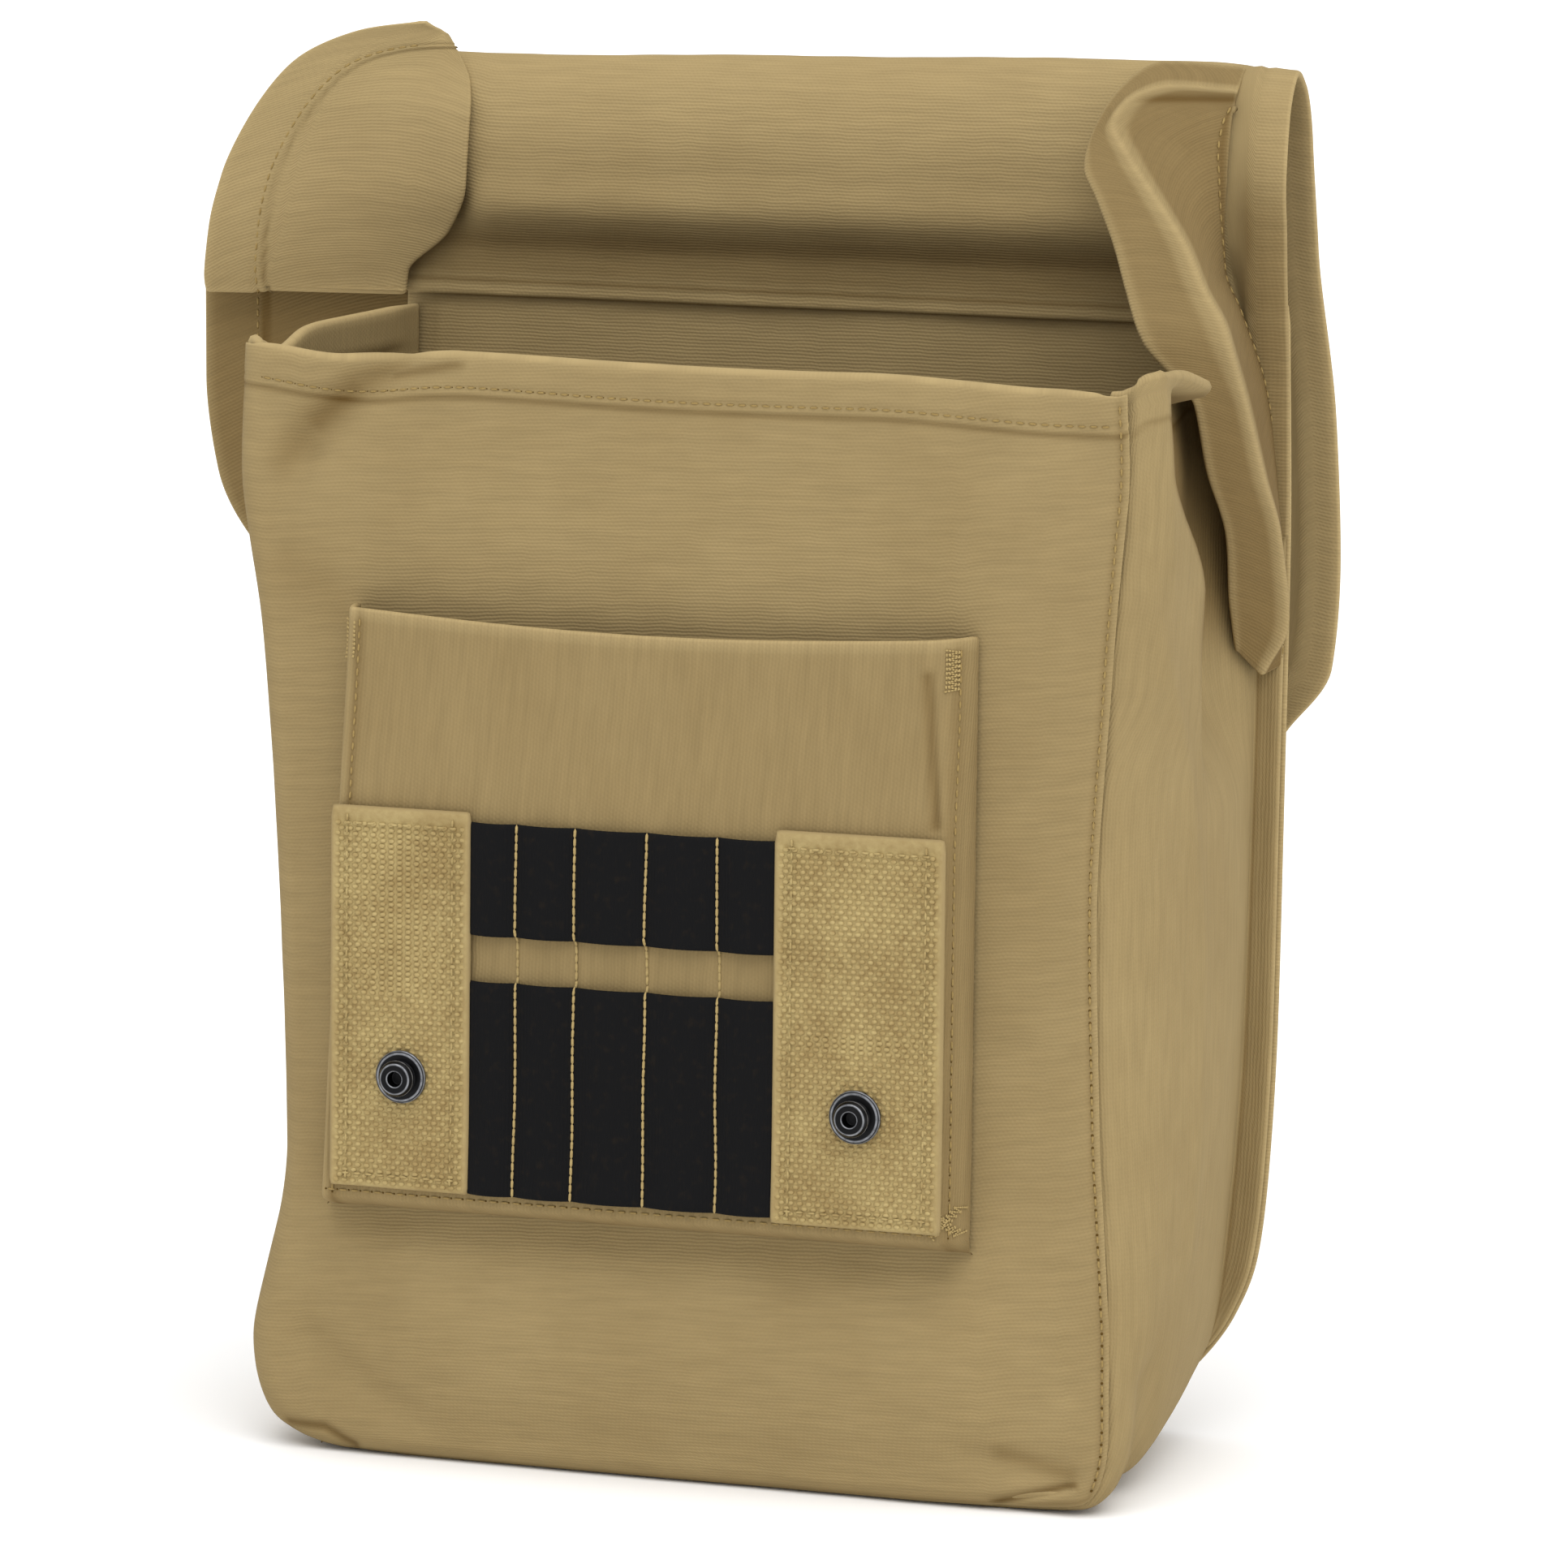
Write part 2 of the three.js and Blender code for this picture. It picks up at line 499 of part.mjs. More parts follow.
// Whole face of the front pocket, which falls to the front wall at the sides and the bottom
function pocketFace(x, z) {
  const leftEdge = mix(...POCKET.left, (z - POCKET.bottom) / (POCKET.top - POCKET.bottom));
  const quarter = (share) => Math.sin((Math.PI / 2) * clamp(share, 0, 1));
  const rise = (distance, run) => quarter(distance / run) ** POCKET_WALL.roundness;
  const left = rise(x - leftEdge, POCKET_WALL.left);
  const right = rise(POCKET.right - x, POCKET_WALL.right);
  const low = rise(z - POCKET.bottom, POCKET_WALL.bottom);
  return pocketFlat(x, z) + pocketStand(z) * (1 - left * right * low);
}

function pocketSurface(u, v) {
  const top = POCKET.top - POCKET.sag * Math.sin(Math.PI * u);
  const z = mix(POCKET.bottom, top, v);
  const x = mix(mix(...POCKET.left, v), POCKET.right, u);
  return new THREE.Vector3(x, pocketFace(x, z), z);
}

function frontPocket() {
  const across = spread(8, (t) => mix(POCKET_FACE.from, POCKET_FACE.to, t));
  const up = spread(9, (t) => mix(POCKET_FACE.low, 1, t));
  const us = [...POCKET_SIDE_STEPS, ...across, ...POCKET_RIGHT_STEPS];
  const vs = [...POCKET_FOOT_STEPS, ...up];
  return part('front_pocket', clothWall(pocketSurface, us, vs, () => CANVAS), CANVAS_FINISH);
}

function webbingTab(name, tab) {
  const surface = (u, v) => {
    const x = mix(tab.left, tab.right, u);
    const z = mix(tab.bottom, tab.top, v);
    return new THREE.Vector3(x, pocketFlat(x, z) - GAP - WEBBING, z);
  };
  return part(name, clothWall(surface, spread(3), spread(6), () => WEBBING), WEBBING_FINISH);
}

// Elastic row: it lies flat along the channel seams and arches over each pen channel
function elasticRow(name, band) {
  const channels = CHANNEL_SEAMS.length - 1;
  const surface = (u, v) => {
    const place = u * channels;
    const channel = Math.min(Math.floor(place), channels - 1);
    const share = clamp(place - channel, 0, 1);
    const x = mix(CHANNEL_SEAMS[channel], CHANNEL_SEAMS[channel + 1], share);
    const z = mix(band.bottom, band.top, v);
    const arch = CHANNEL_ARCH.height * Math.abs(Math.sin(Math.PI * share)) ** CHANNEL_ARCH.roundness;
    return new THREE.Vector3(x, pocketFlat(x, z) - GAP - ELASTIC - arch, z);
  };
  const us = spread(channels * CHANNEL_ARCH.steps);
  return part(name, clothWall(surface, us, spread(2), () => ELASTIC), ELASTIC_FINISH);
}

// Turned piece whose axis points out of the front (-Y) or out of the back (+Y)
function turned(name, profile, place, facing) {
  const geometry = new THREE.LatheGeometry(profile.map(([r, h]) => new THREE.Vector2(r, h)), ROUND_SIDES);
  const mesh = part(name, geometry, STUD_FINISH);
  mesh.rotation.x = facing === 'front' ? Math.PI : 0;
  mesh.position.copy(place);
  return mesh;
}

function stud({ name, x, z }) {
  const { flange, neck, post, bore } = STUD;
  const profile = [
    [0, 0],
    [flange.radius, 0],
    [flange.radius, flange.height - flange.bevelHeight],
    [flange.radius - flange.bevelRadius, flange.height],
    [neck.radius, flange.height],
    [neck.radius, flange.height + neck.height],
    [post.radius, post.top - post.bevelHeight],
    [post.radius - post.bevelRadius, post.top],
    [bore.radius, post.top],
    [bore.radius, post.top - bore.depth],
    [0, post.top - bore.depth],
  ];
  const seat = pocketFlat(x, z) - 2 * GAP - WEBBING;
  return turned(name, profile, new THREE.Vector3(x, seat, z), 'front');
}

// Depth of the flap's outer face where it hangs behind, at one height
function hangingFlapDepth(z) {
  const hanging = FLAP.slice(FLAP_TOP_ROW);
  const below = hanging.findIndex((row) => row.z <= z);
  const [upper, lower] = [hanging[below - 1], hanging[below]];
  return mix(lower.y, upper.y, (z - lower.z) / (upper.z - lower.z));
}

function flapSocket({ name, x, z }) {
  const { radius, height, rim, boreRadius, boreDepth } = SOCKET;
  const profile = [
    [0, 0],
    [radius, 0],
    [radius, height - rim],
    [radius - rim, height],
    [boreRadius, height],
    [boreRadius, height - boreDepth],
    [0, height - boreDepth],
  ];
  return turned(name, profile, new THREE.Vector3(x, hangingFlapDepth(z) + GAP, z), 'back');
}

const mapCase = new THREE.Group();
mapCase.add(frontPanel(), gusset(), backPanel(), flap(), leftWing(), rightWing(), frontPocket());
mapCase.add(webbingTab('webbing_left', WEBBING_LEFT), webbingTab('webbing_right', WEBBING_RIGHT));
mapCase.add(elasticRow('elastic_upper', ELASTIC_UPPER), elasticRow('elastic_lower', ELASTIC_LOWER));
mapCase.add(...STUD_PLACES.map(stud), ...SOCKET_PLACES.map(flapSocket));
export default mapCase;
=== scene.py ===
"""Dresses the canvas map case with cloth, webbing, elastic, snaps and stitching, and sets its studio."""
import math
from types import SimpleNamespace

import bpy
import numpy as np
from bpy.props import FloatProperty, FloatVectorProperty, PointerProperty
from mathutils import Matrix, Vector


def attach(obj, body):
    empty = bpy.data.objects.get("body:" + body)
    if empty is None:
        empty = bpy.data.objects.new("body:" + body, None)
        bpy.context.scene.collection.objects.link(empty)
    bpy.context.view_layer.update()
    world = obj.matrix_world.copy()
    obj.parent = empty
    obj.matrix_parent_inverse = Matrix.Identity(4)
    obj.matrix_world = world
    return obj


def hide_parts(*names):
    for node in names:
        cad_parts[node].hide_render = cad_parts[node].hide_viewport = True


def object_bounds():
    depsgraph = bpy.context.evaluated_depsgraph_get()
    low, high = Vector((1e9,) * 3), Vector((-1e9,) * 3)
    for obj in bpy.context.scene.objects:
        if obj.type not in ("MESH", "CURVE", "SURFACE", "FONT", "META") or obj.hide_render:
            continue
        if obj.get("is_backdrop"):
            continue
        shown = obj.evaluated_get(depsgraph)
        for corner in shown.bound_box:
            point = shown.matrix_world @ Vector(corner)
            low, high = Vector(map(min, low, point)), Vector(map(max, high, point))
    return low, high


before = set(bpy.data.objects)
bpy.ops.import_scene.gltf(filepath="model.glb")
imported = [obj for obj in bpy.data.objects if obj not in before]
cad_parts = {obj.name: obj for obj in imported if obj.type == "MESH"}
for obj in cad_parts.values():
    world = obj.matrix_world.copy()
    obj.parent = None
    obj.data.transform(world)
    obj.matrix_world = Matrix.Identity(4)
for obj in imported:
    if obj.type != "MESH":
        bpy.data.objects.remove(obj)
CAD_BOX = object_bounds()

bl_info = {
    "name": "Canvas map case",
    "version": (1, 0, 0),
    "blender": (4, 5, 0),
    "location": "View3D > Sidebar > Map case",
    "description": "Sews the canvas map case piece by piece and sets its studio",
    "category": "Object",
}

# Units and places, in millimetres unless a name says otherwise
MM = 0.001
BODY = "root"
FRONT_PLANE = -50.0
BACK_SEAM = 50.0
GAP = 0.4
STEP = 1e-3

# Gusset outline, a row for each station from the left end of the mouth, down, under and up to the right
GUSSET_COLUMNS = "front_x front_z rear_x rear_z roll_in roll_deep seam hold"
GUSSET_ROWS = (
    (-115, 265, -110, 266, 6, 8, 70, 0.3),
    (-116.5, 235, -110, 236, 6, 9, 70, 0.3),
    (-111.5, 194, -109, 195, 7, 12, 70, 0.3),
    (-107.5, 128, -107, 130, 8, 14, 70, 0.3),
    (-106, 72, -105.5, 80, 8, 14, 70, 0.2),
    (-114.5, 26, -101.5, 50, 9, 14, 70, 0.1),
    (-107.5, 6.5, -91, 26, 8, 10, 72, 0.1),
    (-86, 0.3, -68, 10, 6, 7, 75, 0.3),
    (-45, 0, -40, 7.5, 5, 6, 75, 0.55),
    (5, 0, 0, 7.5, 5, 6, 75, 0.55),
    (55, 0, 40, 7.5, 5, 6, 72, 0.55),
    (96, 1.4, 78, 11, 6, 7, 62, 0),
    (106, 11.5, 98.5, 25.5, 6, 9, 38, 0),
    (110, 42, 102, 53, 9, 18, 22, 0.1),
    (112, 93, 105, 98, 15, 36, 17, 0.2),
    (112, 145, 106, 146, 17, 38, 17, 0.3),
    (112, 195, 107, 196, 14, 22, 20, 0.3),
    (113.6, 238, 106.8, 238, 12, 11, 22, 0.3),
    (111.8, 266, 104.5, 267, 10, 8, 24, 0.3),
)
LAST_STATION = len(GUSSET_ROWS) - 1
BOTTOM_LEFT_STATION = 20 / 3
BOTTOM_RIGHT_STATION = 34 / 3
ROLL_SHARE = 0.4
REAR_TURN = 1.6
HOLLOW_DEPTH = 14.0
HOLLOW_Z = (158, 196, 261, 265.5)
HOLLOW_Y = (-40, -22, 22, 50)
HOLLOW_LEAN = SimpleNamespace(run=28.0, z=(212, 244))
HOLLOW_BEAK_Y = (-8, 4)
# Painted shade in the recess between the gusset's right side and the right wing: tone, heights and depths
RECESS = SimpleNamespace(tone=-0.8, z=(186, 210, 258, 261), y=(-42, -38))
SIDE_X = 60.0
MOUTH_SAG = SimpleNamespace(drop=8.0, y=6.0, reach=30.0, z=(226, 268))
LEFT_SAG = SimpleNamespace(drop=4.0, y=-28.0, reach=11.0, z=(236, 267))
FLANGE = SimpleNamespace(share=0.12, turn_y=46.5, face_y=48.6, short=0.7)
GUSSET_CLOTH = SimpleNamespace(length=760.0, width=120.0, soft=(FLANGE.share, 0.24, 0.86, 0.97), hem_run=0.1)

# Soft folds and one groove of the gusset's right side: from y, z to y, z, width and height
GUSSET_FOLDS = (
    ((-46, 216), (-31, 191), 4, 0.9),
    ((-31, 191), (-22, 175), 4, 0.9),
    ((-22, 175), (-8, 130), 5, 0.9),
    ((-8, 130), (-10, 57), 6, 0.9),
    ((-27, 8), (-32, 28), 8, -3),
)

# Lapped seam: the front panel's edge lies over the gusset, which dips under it
LAP = SimpleNamespace(over=-1.0, under=5.0, dip=1.0, fade=2.6, thin=0.6, fill=3.0, stitch=2.6)
HEM_SOFT = 0.5
HEM_TAPER = (-3, 12)
HEM_STITCH = 1.6
HEM_RISE = {"front_panel": 0.7, "flap": 0.5, "left_wing": 0.6}
BAND = SimpleNamespace(soft=(-0.5, 0.9), dents=((0.45, -HEM_STITCH, 0.9), (0.2, 0.8, 0.8)))

# Soft lines of the front wall: from x, z to x, z, width and depth inwards
FRONT_FOLDS = (
    ((-74, 264), (-99, 242), 5.5, 3.6),
    ((-84, 268), (-104, 258), 7, -1.2),
    ((-60, 38), (55, 34), 25, -5),
    ((-75, 60), (60, 58), 7, 2),
    ((70, 12.5), (97, 10), 4.5, 2.2),
    ((-97, 27), (-74, 12), 6, 2),
)
FRONT_CREASES = (
    ((-98, 240), (-106, 218), 4, 0.8),
    ((84, 262), (104, 240), 6, 0.7),
    ((96, 30), (106, 48), 4, 0.8),
    ((94, 7.2), (77, 2), 1.5, 1.3),
    ((-102, 6.4), (-92, 6.2), 1.4, 1.2),
    ((-92, 6.2), (-85, 2.4), 1.4, 1.2),
    ((-104, 60), (-98, 110), 7, 0.7),
    ((-78, 257.5), (-60, 260.5), 1.8, 0.8),
)
# Painted shade in the front wall's creases and dents, and painted highlights on its ridges: from x, z to x,
# z, width and tone
FRONT_SHADING_LINES = (
    ((96, 7.9), (77, 2), 1.2, -0.9),
    ((96, 6.6), (74, 0.4), 0.8, 0.7),
    ((78, 14.2), (95, 10.4), 2.2, -0.45),
    ((-102, 6.4), (-92, 6.2), 1.2, -0.8),
    ((-92, 6.2), (-85, 2.4), 1.2, -0.8),
    ((-74, 262.6), (-85.8, 255.7), 3.5, -0.55),
    ((-85.8, 255.7), (-95.6, 247.1), 3.5, -0.7),
    ((-95.6, 247.1), (-103.5, 237.6), 4, -0.35),
    ((-76, 258.6), (-58.4, 262.4), 1.4, -0.6),
    ((-101.6, 214), (-90.4, 205), 7, -0.25),
)
FOLD_FADE = SimpleNamespace(roll_share=0.4, run=12.0)
MOUTH_DIPS = ((-86, 17, 3), (15, 80, 2.7))
RIGHT_DIP = SimpleNamespace(drop=3.4, x=(40, 95, 103, 110))
MOUTH_DIP_Z = (225, 266)
MOUTH_ENDS = ((-115, 265), (111.8, 266))
MOUTH_FRONT_Y = (-48, -40)
EDGE_SAMPLES = 900
DEPTH_CHUNK = 4000

BACK_COLUMNS = "z half"
BACK_ROWS = (
    (0, 50), (2.5, 68), (8, 83), (17, 93.5), (30, 103), (45, 108.5),
    (68, 111), (105, 112.5), (160, 113), (215, 113.4), (274, 112.2),
)
BACK_BELLY = SimpleNamespace(depth=4.0, width=240.0, height=280.0)
BACK_SEAM_INSET = 6.5
BACK_DENT = SimpleNamespace(depth=0.4, reach=1.2, margin=(4, 14))

# Flap section, a row for each station from the seam inside the back, over the roll and down behind
FLAP_COLUMNS = "y z left right"
FLAP_ROWS = (
    (48.3, 270, -112, 113.6),
    (48.2, 275, -112.5, 113.8),
    (48.4, 281, -113.5, 113.4),
    (45.4, 291, -115, 112.9),
    (43.2, 304, -116, 112.9),
    (47, 321, -116, 112.5),
    (56, 330, -116, 112),
    (65, 326, -116, 111.2),
    (71, 312, -116.5, 111.2),
    (73.5, 286, -117, 112.4),
    (74, 247, -118, 117.4),
    (73, 208, -119, 119.6),
    (72, 186, -117, 118.2),
    (71.4, 171, -109, 108),
    (71, 160, -97, 99),
    (70.8, 153.4, -80, 82),
    (70.7, 150.8, -58, 60),
)
FLAP_TOP_ROW = 6
FLAP_TILT = 0.022
FLAP_CORNER = SimpleNamespace(drop=3.0, x=(90, 117))
FLAP_LIFT_Z = (285, 318)
FLAP_BULGE = SimpleNamespace(depth=4.5, z=291.5, reach=8.0, x=(-100, -88, 70, 90))
FLAP_SEAM_X = 104.6
FLAP_HEM = 9.0
FLAP_TAIL = SimpleNamespace(drop=50.0, x=(99, 106), z=(270, 296))
# Painted shade under the roll of the flap: strength, heights where it rises and falls, and where it fades to
# the right
FLAP_UNDER = SimpleNamespace(tone=0.4, z=(273, 276, 281, 287), x=(80, 95))
FLAP_CLOTH = SimpleNamespace(width=232.0, length=230.0, edge_steps=300)

# Left wing, a row for each station from its low tip up: x, y, z of its free edge and of its bag edge
LEFT_WING_COLUMNS = "outer_x outer_y outer_z inner_x inner_y inner_z"
LEFT_WING_ROWS = (
    (-126, 53, 188, -107, 52.7, 186),
    (-144, 53.5, 196, -107, 52.7, 195),
    (-155.6, 54, 206.4, -107, 52.7, 206),
    (-164.2, 54, 222.4, -107, 52.7, 222),
    (-167.4, 53.5, 246, -107, 52.7, 246),
    (-167.2, 52.5, 268, -108, 52.7, 269),
    (-166.5, 51.4, 275.5, -110, 52.4, 278),
    (-163.5, 48.6, 276.5, -115, 48.6, 280),
    (-163.5, 47, 272, -114.6, 46.4, 275),
    (-163.5, 44.8, 268, -112, 44.4, 269),
    (-163.5, 43, 272, -110.5, 43, 275),
    (-162.4, 43.5, 284, -99.4, 41.6, 285),
    (-159.5, 45, 297, -94.2, 39.2, 297),
    (-150, 46, 315, -93.9, 41, 313),
    (-138, 46, 327, -96, 46.8, 322),
    (-121, 46.5, 333.6, -99, 49.5, 327),
    (-108, 48.5, 335.4, -103, 51, 332),
)
LEFT_WING_SWELL = SimpleNamespace(depth=3.0, rows=(9, 12), width=45.0)
PLEAT_ROWS = SimpleNamespace(dark=8.2, lip=9.15, low=7.5)
WING_LENGTH = 170.0

# Right wing, a row for each station from its low tip up: x, y, z of its sewn edge, ridge and free edge
RIGHT_WING_COLUMNS = "sewn_x sewn_y sewn_z ridge_x ridge_y ridge_z free_x free_y free_z"
RIGHT_WING_ROWS = (
    (113.2, 49.4, 189.4, 110.4, 43.6, 187.4, 105.8, 37, 193.8),
    (113, 50, 202, 116.4, 44.4, 200, 105.8, 33, 204),
    (112, 50, 222, 116.6, 36, 221, 107, 25, 222),
    (110.6, 50, 238, 114.8, 28, 236, 105.2, 15, 238),
    (108, 49, 256, 112.6, 20, 253, 104.2, 8, 254),
    (102.4, 47, 273, 110, 12, 270.5, 94, 0, 269),
    (98.6, 45.6, 283, 104.2, 12, 281, 87.6, 5, 281),
    (98.8, 44, 291, 98.2, 14, 291.5, 82.7, 10, 291),
    (99, 42.5, 299, 88.6, 19, 302.5, 76.4, 15.5, 301.5),
    (99.4, 41.2, 306, 80.4, 24, 311, 71.8, 20, 308.5),
    (99.4, 41.3, 311, 75, 28.5, 318.5, 70.8, 25, 314),
    (99.4, 42.3, 315.5, 77.5, 35, 324, 73.4, 36, 324.5),
    (99.4, 43.3, 319, 86, 41.5, 326.5, 82, 47.5, 331.8),
    (99.6, 44.2, 321.5, 99.6, 46.6, 325.5, 99.6, 53, 330.6),
)
RIDGE = SimpleNamespace(share=0.36, turn=0.05, width=45.0)
# Dent of the hem across the right wing's top, with painted shade in it
TOP_HEM = SimpleNamespace(z=323.6, reach=0.9, dent=0.4, tone=-0.5, run=0.1)

# Front pocket, and what is sewn on it
POCKET = SimpleNamespace(left=(-90, -84), right=70.8, bottom=61.5, top=204.5, sag=3.2)
POCKET_STAND = SimpleNamespace(low=10.0, mouth=8.5, flare_z=150.0)
POCKET_WALL = SimpleNamespace(left=3.0, right=(5.5, 10.0), slack_z=(150, 204), bottom=4.0, roundness=0.7)
POCKET_PLEAT = ((61.4, 196), (64.2, 162), 1.4, 1.3)
TABS = {
    "webbing_left": SimpleNamespace(left=-83.8, right=-50.4, bottom=69.0, top=158.0),
    "webbing_right": SimpleNamespace(left=27.0, right=66.6, bottom=68.0, top=158.5),
}
CHANNEL_SEAMS = (-50.0, -38.2, -23.6, -5.8, 12.0, 26.6)
CHANNEL_ARCH = SimpleNamespace(height=1.8, roundness=0.8)
BANDS = {
    "elastic_upper": SimpleNamespace(bottom=130.5, top=156.0),
    "elastic_lower": SimpleNamespace(bottom=69.0, top=118.5),
}
STUD_PLACES = {"stud_left": (-66.3, 95.3), "stud_right": (46.8, 93.7)}
SOCKET_PLACES = {"flap_socket_left": (-68, 165), "flap_socket_right": (45, 165)}
STUD_PROFILE = (
    (0, 0), (6.3, 0), (6.3, 0.8), (5.6, 1.2), (3.7, 1.2), (3.7, 2.1),
    (4.4, 3.4), (3.6, 4.6), (1.8, 4.6), (1.8, 1.6), (0, 1.6),
)
SOCKET_PROFILE = ((0, 0), (6.3, 0), (6.3, 2.2), (5.3, 3.2), (4, 3.2), (4, 1.2), (0, 1.2))
ROUND_SIDES = 48
CORNER_RADIUS = 0.35

# How the yarns lie in the webbing: sunk in the band, the share of the spacing that they fill, and their turn
YARN = SimpleNamespace(sunk=0.3, seat=0.7, proud=0.1, fill_warp=0.86, fill_weft=0.98, height=0.9, turn=0.12)
# Selvages and folded top: their soft reach, the tone of painted shade on them, the fold and the spare yarn
SELVAGE = SimpleNamespace(soft=(-0.5, 0.3), tone=0.4, fold=3.0, spare=0.4)

# Stitches: lift off the cloth, insets of the rows on the pocket and the tabs, and runs of the other rows
LIFT = 0.12
TAB_LIFT = 0.3
HOLE_SINK = 0.1
POCKET_ROWS = SimpleNamespace(left=5.0, right=2.6, bottom=5.2, low=6.0, high=3.0, start=5.0, end=6.0)
TAB_ROWS = SimpleNamespace(side=3.4, end=2.0, top=3.2, bottom=2.4)
CHANNEL_STITCH = SimpleNamespace(pitch=2.0, length=2.6, width=0.8, height=0.6)
CHANNEL_ROW = SimpleNamespace(end=0.6, over=0.3, bare=0.2, soft=1.0, points=70)
MOUTH_ROW = SimpleNamespace(start=-107, end=100, points=120, hole=0.6)
SEAM_ROW = SimpleNamespace(start=BOTTOM_RIGHT_STATION + 0.3, end=LAST_STATION - 0.25, points=160, hole=1.2)
LEFT_WING_ROW = SimpleNamespace(start=0.02, end=0.93, points=220, most=0.95)
RIGHT_WING_ROW = SimpleNamespace(start=0.02, end=0.97, points=160, place=0.955)
FLAP_ROW = SimpleNamespace(start=FLAP_TOP_ROW + 1.2, end=len(FLAP_ROWS) - 1, points=200)
BACK_ROW = SimpleNamespace(start=len(BACK_ROWS) - 1.1, end=0, points=200)
BACK_TOP_ROW = SimpleNamespace(start=0.04, end=0.96, points=90, place=0.985)
ROW_POINTS = SimpleNamespace(pocket=90, tab_side=60, tab_end=30)

# Bar tacks: from x, z to x, z, with x counted from the pocket's left or right side, width and turns
TACKS_LEFT = (((2.6, 202), (2.2, 193), 2.6, 9),)
TACKS_RIGHT = (
    ((-4, 202.5), (-4, 193), 2.6, 9),
    ((-6, 66.5), (-1, 73), 1.6, 8),
    ((-1, 66.5), (-6, 73), 1.6, 8),
)
TACK = SimpleNamespace(pitch=0.8, length=0.9, width=0.55, height=0.5, lift=0.25)

# Steps across and along each sheet
GRIDS = {
    "front_panel": (150, 176), "back_panel": (130, 150), "flap": (130, 190),
    "left_wing": (48, 300), "right_wing": (80, 170), "webbing": (60, 120), "elastic": (18, 39),
}
GUSSET_STEPS = SimpleNamespace(station=20, flange=14, wall=91)
POCKET_SPANS = SimpleNamespace(across=((0.022, 11), (0.955, 111), (1, 15)), along=((0.032, 11), (1, 111)))

# Unevenness of the cloth and of hand-guided seams: height, length and seed of each ripple
RIPPLES = {
    "front_panel": ((0.35, 46, 1.3), (0.12, 15, 4.1)),
    "gusset": ((0.5, 55, 3.7), (0.12, 16, 0.4)),
    "back_panel": ((0.4, 50, 2.9), (0.12, 16, 5.2)),
    "flap": ((0.5, 60, 0.8), (0.12, 17, 3.3)),
    "left_wing": ((0.3, 40, 2.0),),
    "right_wing": ((0.25, 30, 1.1),),
    "front_pocket": ((0.15, 30, 2.2),),
    "mouth_seam": ((0.25, 34, 2.0),),
    "channel_seam": ((0.35, 26, 1.0),),
}

# Tones along lines, positive for paler wear and painted highlights, negative for painted shade and a seam's
# dark line: strength, place and reach of each
LINE_TONES = {
    "mouth_rim": ((0.45, 0, 1.2),),
    # Painted shade in the stitch groove of the mouth hem
    "mouth_groove": ((-0.55, 0.6, 0.8),),
    # Painted highlight on the lapped edge, painted shade along its stitch row
    "front_seam": ((0.15, 0, 0.9), (-0.35, LAP.stitch + LAP.over, 1.1)),
    # Painted shade in the gusset hem's stitch groove
    "gusset_groove": ((-0.4, 0.6, 0.8),),
    "flange_rim": ((0.4, 0, 1.2),),
    # Painted shade in the fold where the seam allowance turns out
    "flange_fold": ((-0.8, 0.075, 0.015),),
    # Edge paler from wear, and painted shade along the stitch row
    "back_edge": ((0.3, 0, 2), (-0.4, 7, 1)),
    "flap_rim": ((0.4, 0, 1.3),),
    # Painted shade in the flap hem's stitch groove, painted highlight and shade at the lower lip, and painted
    # shade under the roll, which is taken off the tone
    "flap_groove": ((-0.45, 0.6, 0.8),),
    "flap_lip": ((0.5, 271, 0.9), (-0.6, 273, 0.7)),
    "flap_under": ((0.3, 284, 3),),
    "flap_felled": ((-0.4, FLAP_SEAM_X, 0.8),),
    "left_wing_rim": ((0.4, 0, 1.4),),
    # Painted shade in the wing hem's stitch groove; painted highlight and shade at the pleat; painted
    # highlight on the ridge; painted shade by the sewn edge
    "left_wing_groove": ((-0.6, 0.5, 0.7),),
    "pleat": ((0.9, PLEAT_ROWS.lip, 0.4), (-0.9, PLEAT_ROWS.dark, 0.45)),
    "ridge": ((0.6, RIDGE.share, 0.035),),
    "right_wing_sewn": ((-0.35, 1.2, 1),),
    "right_wing_free": ((0.4, 0, 1.4),),
    "pocket_mouth": ((0.6, 0, 1.6),),
    # Painted highlight on the pocket's left fold with painted shade on both sides; painted shade along the
    # right stitch row and at the bottom edge
    "pocket_left": ((0.4, 2.2, 1.6), (-0.5, 5, 1.1), (-0.6, 0, 1)),
    "pocket_right": ((-0.3, 3, 1.2),),
    "pocket_bottom": ((-0.4, 0, 1.4),),
}

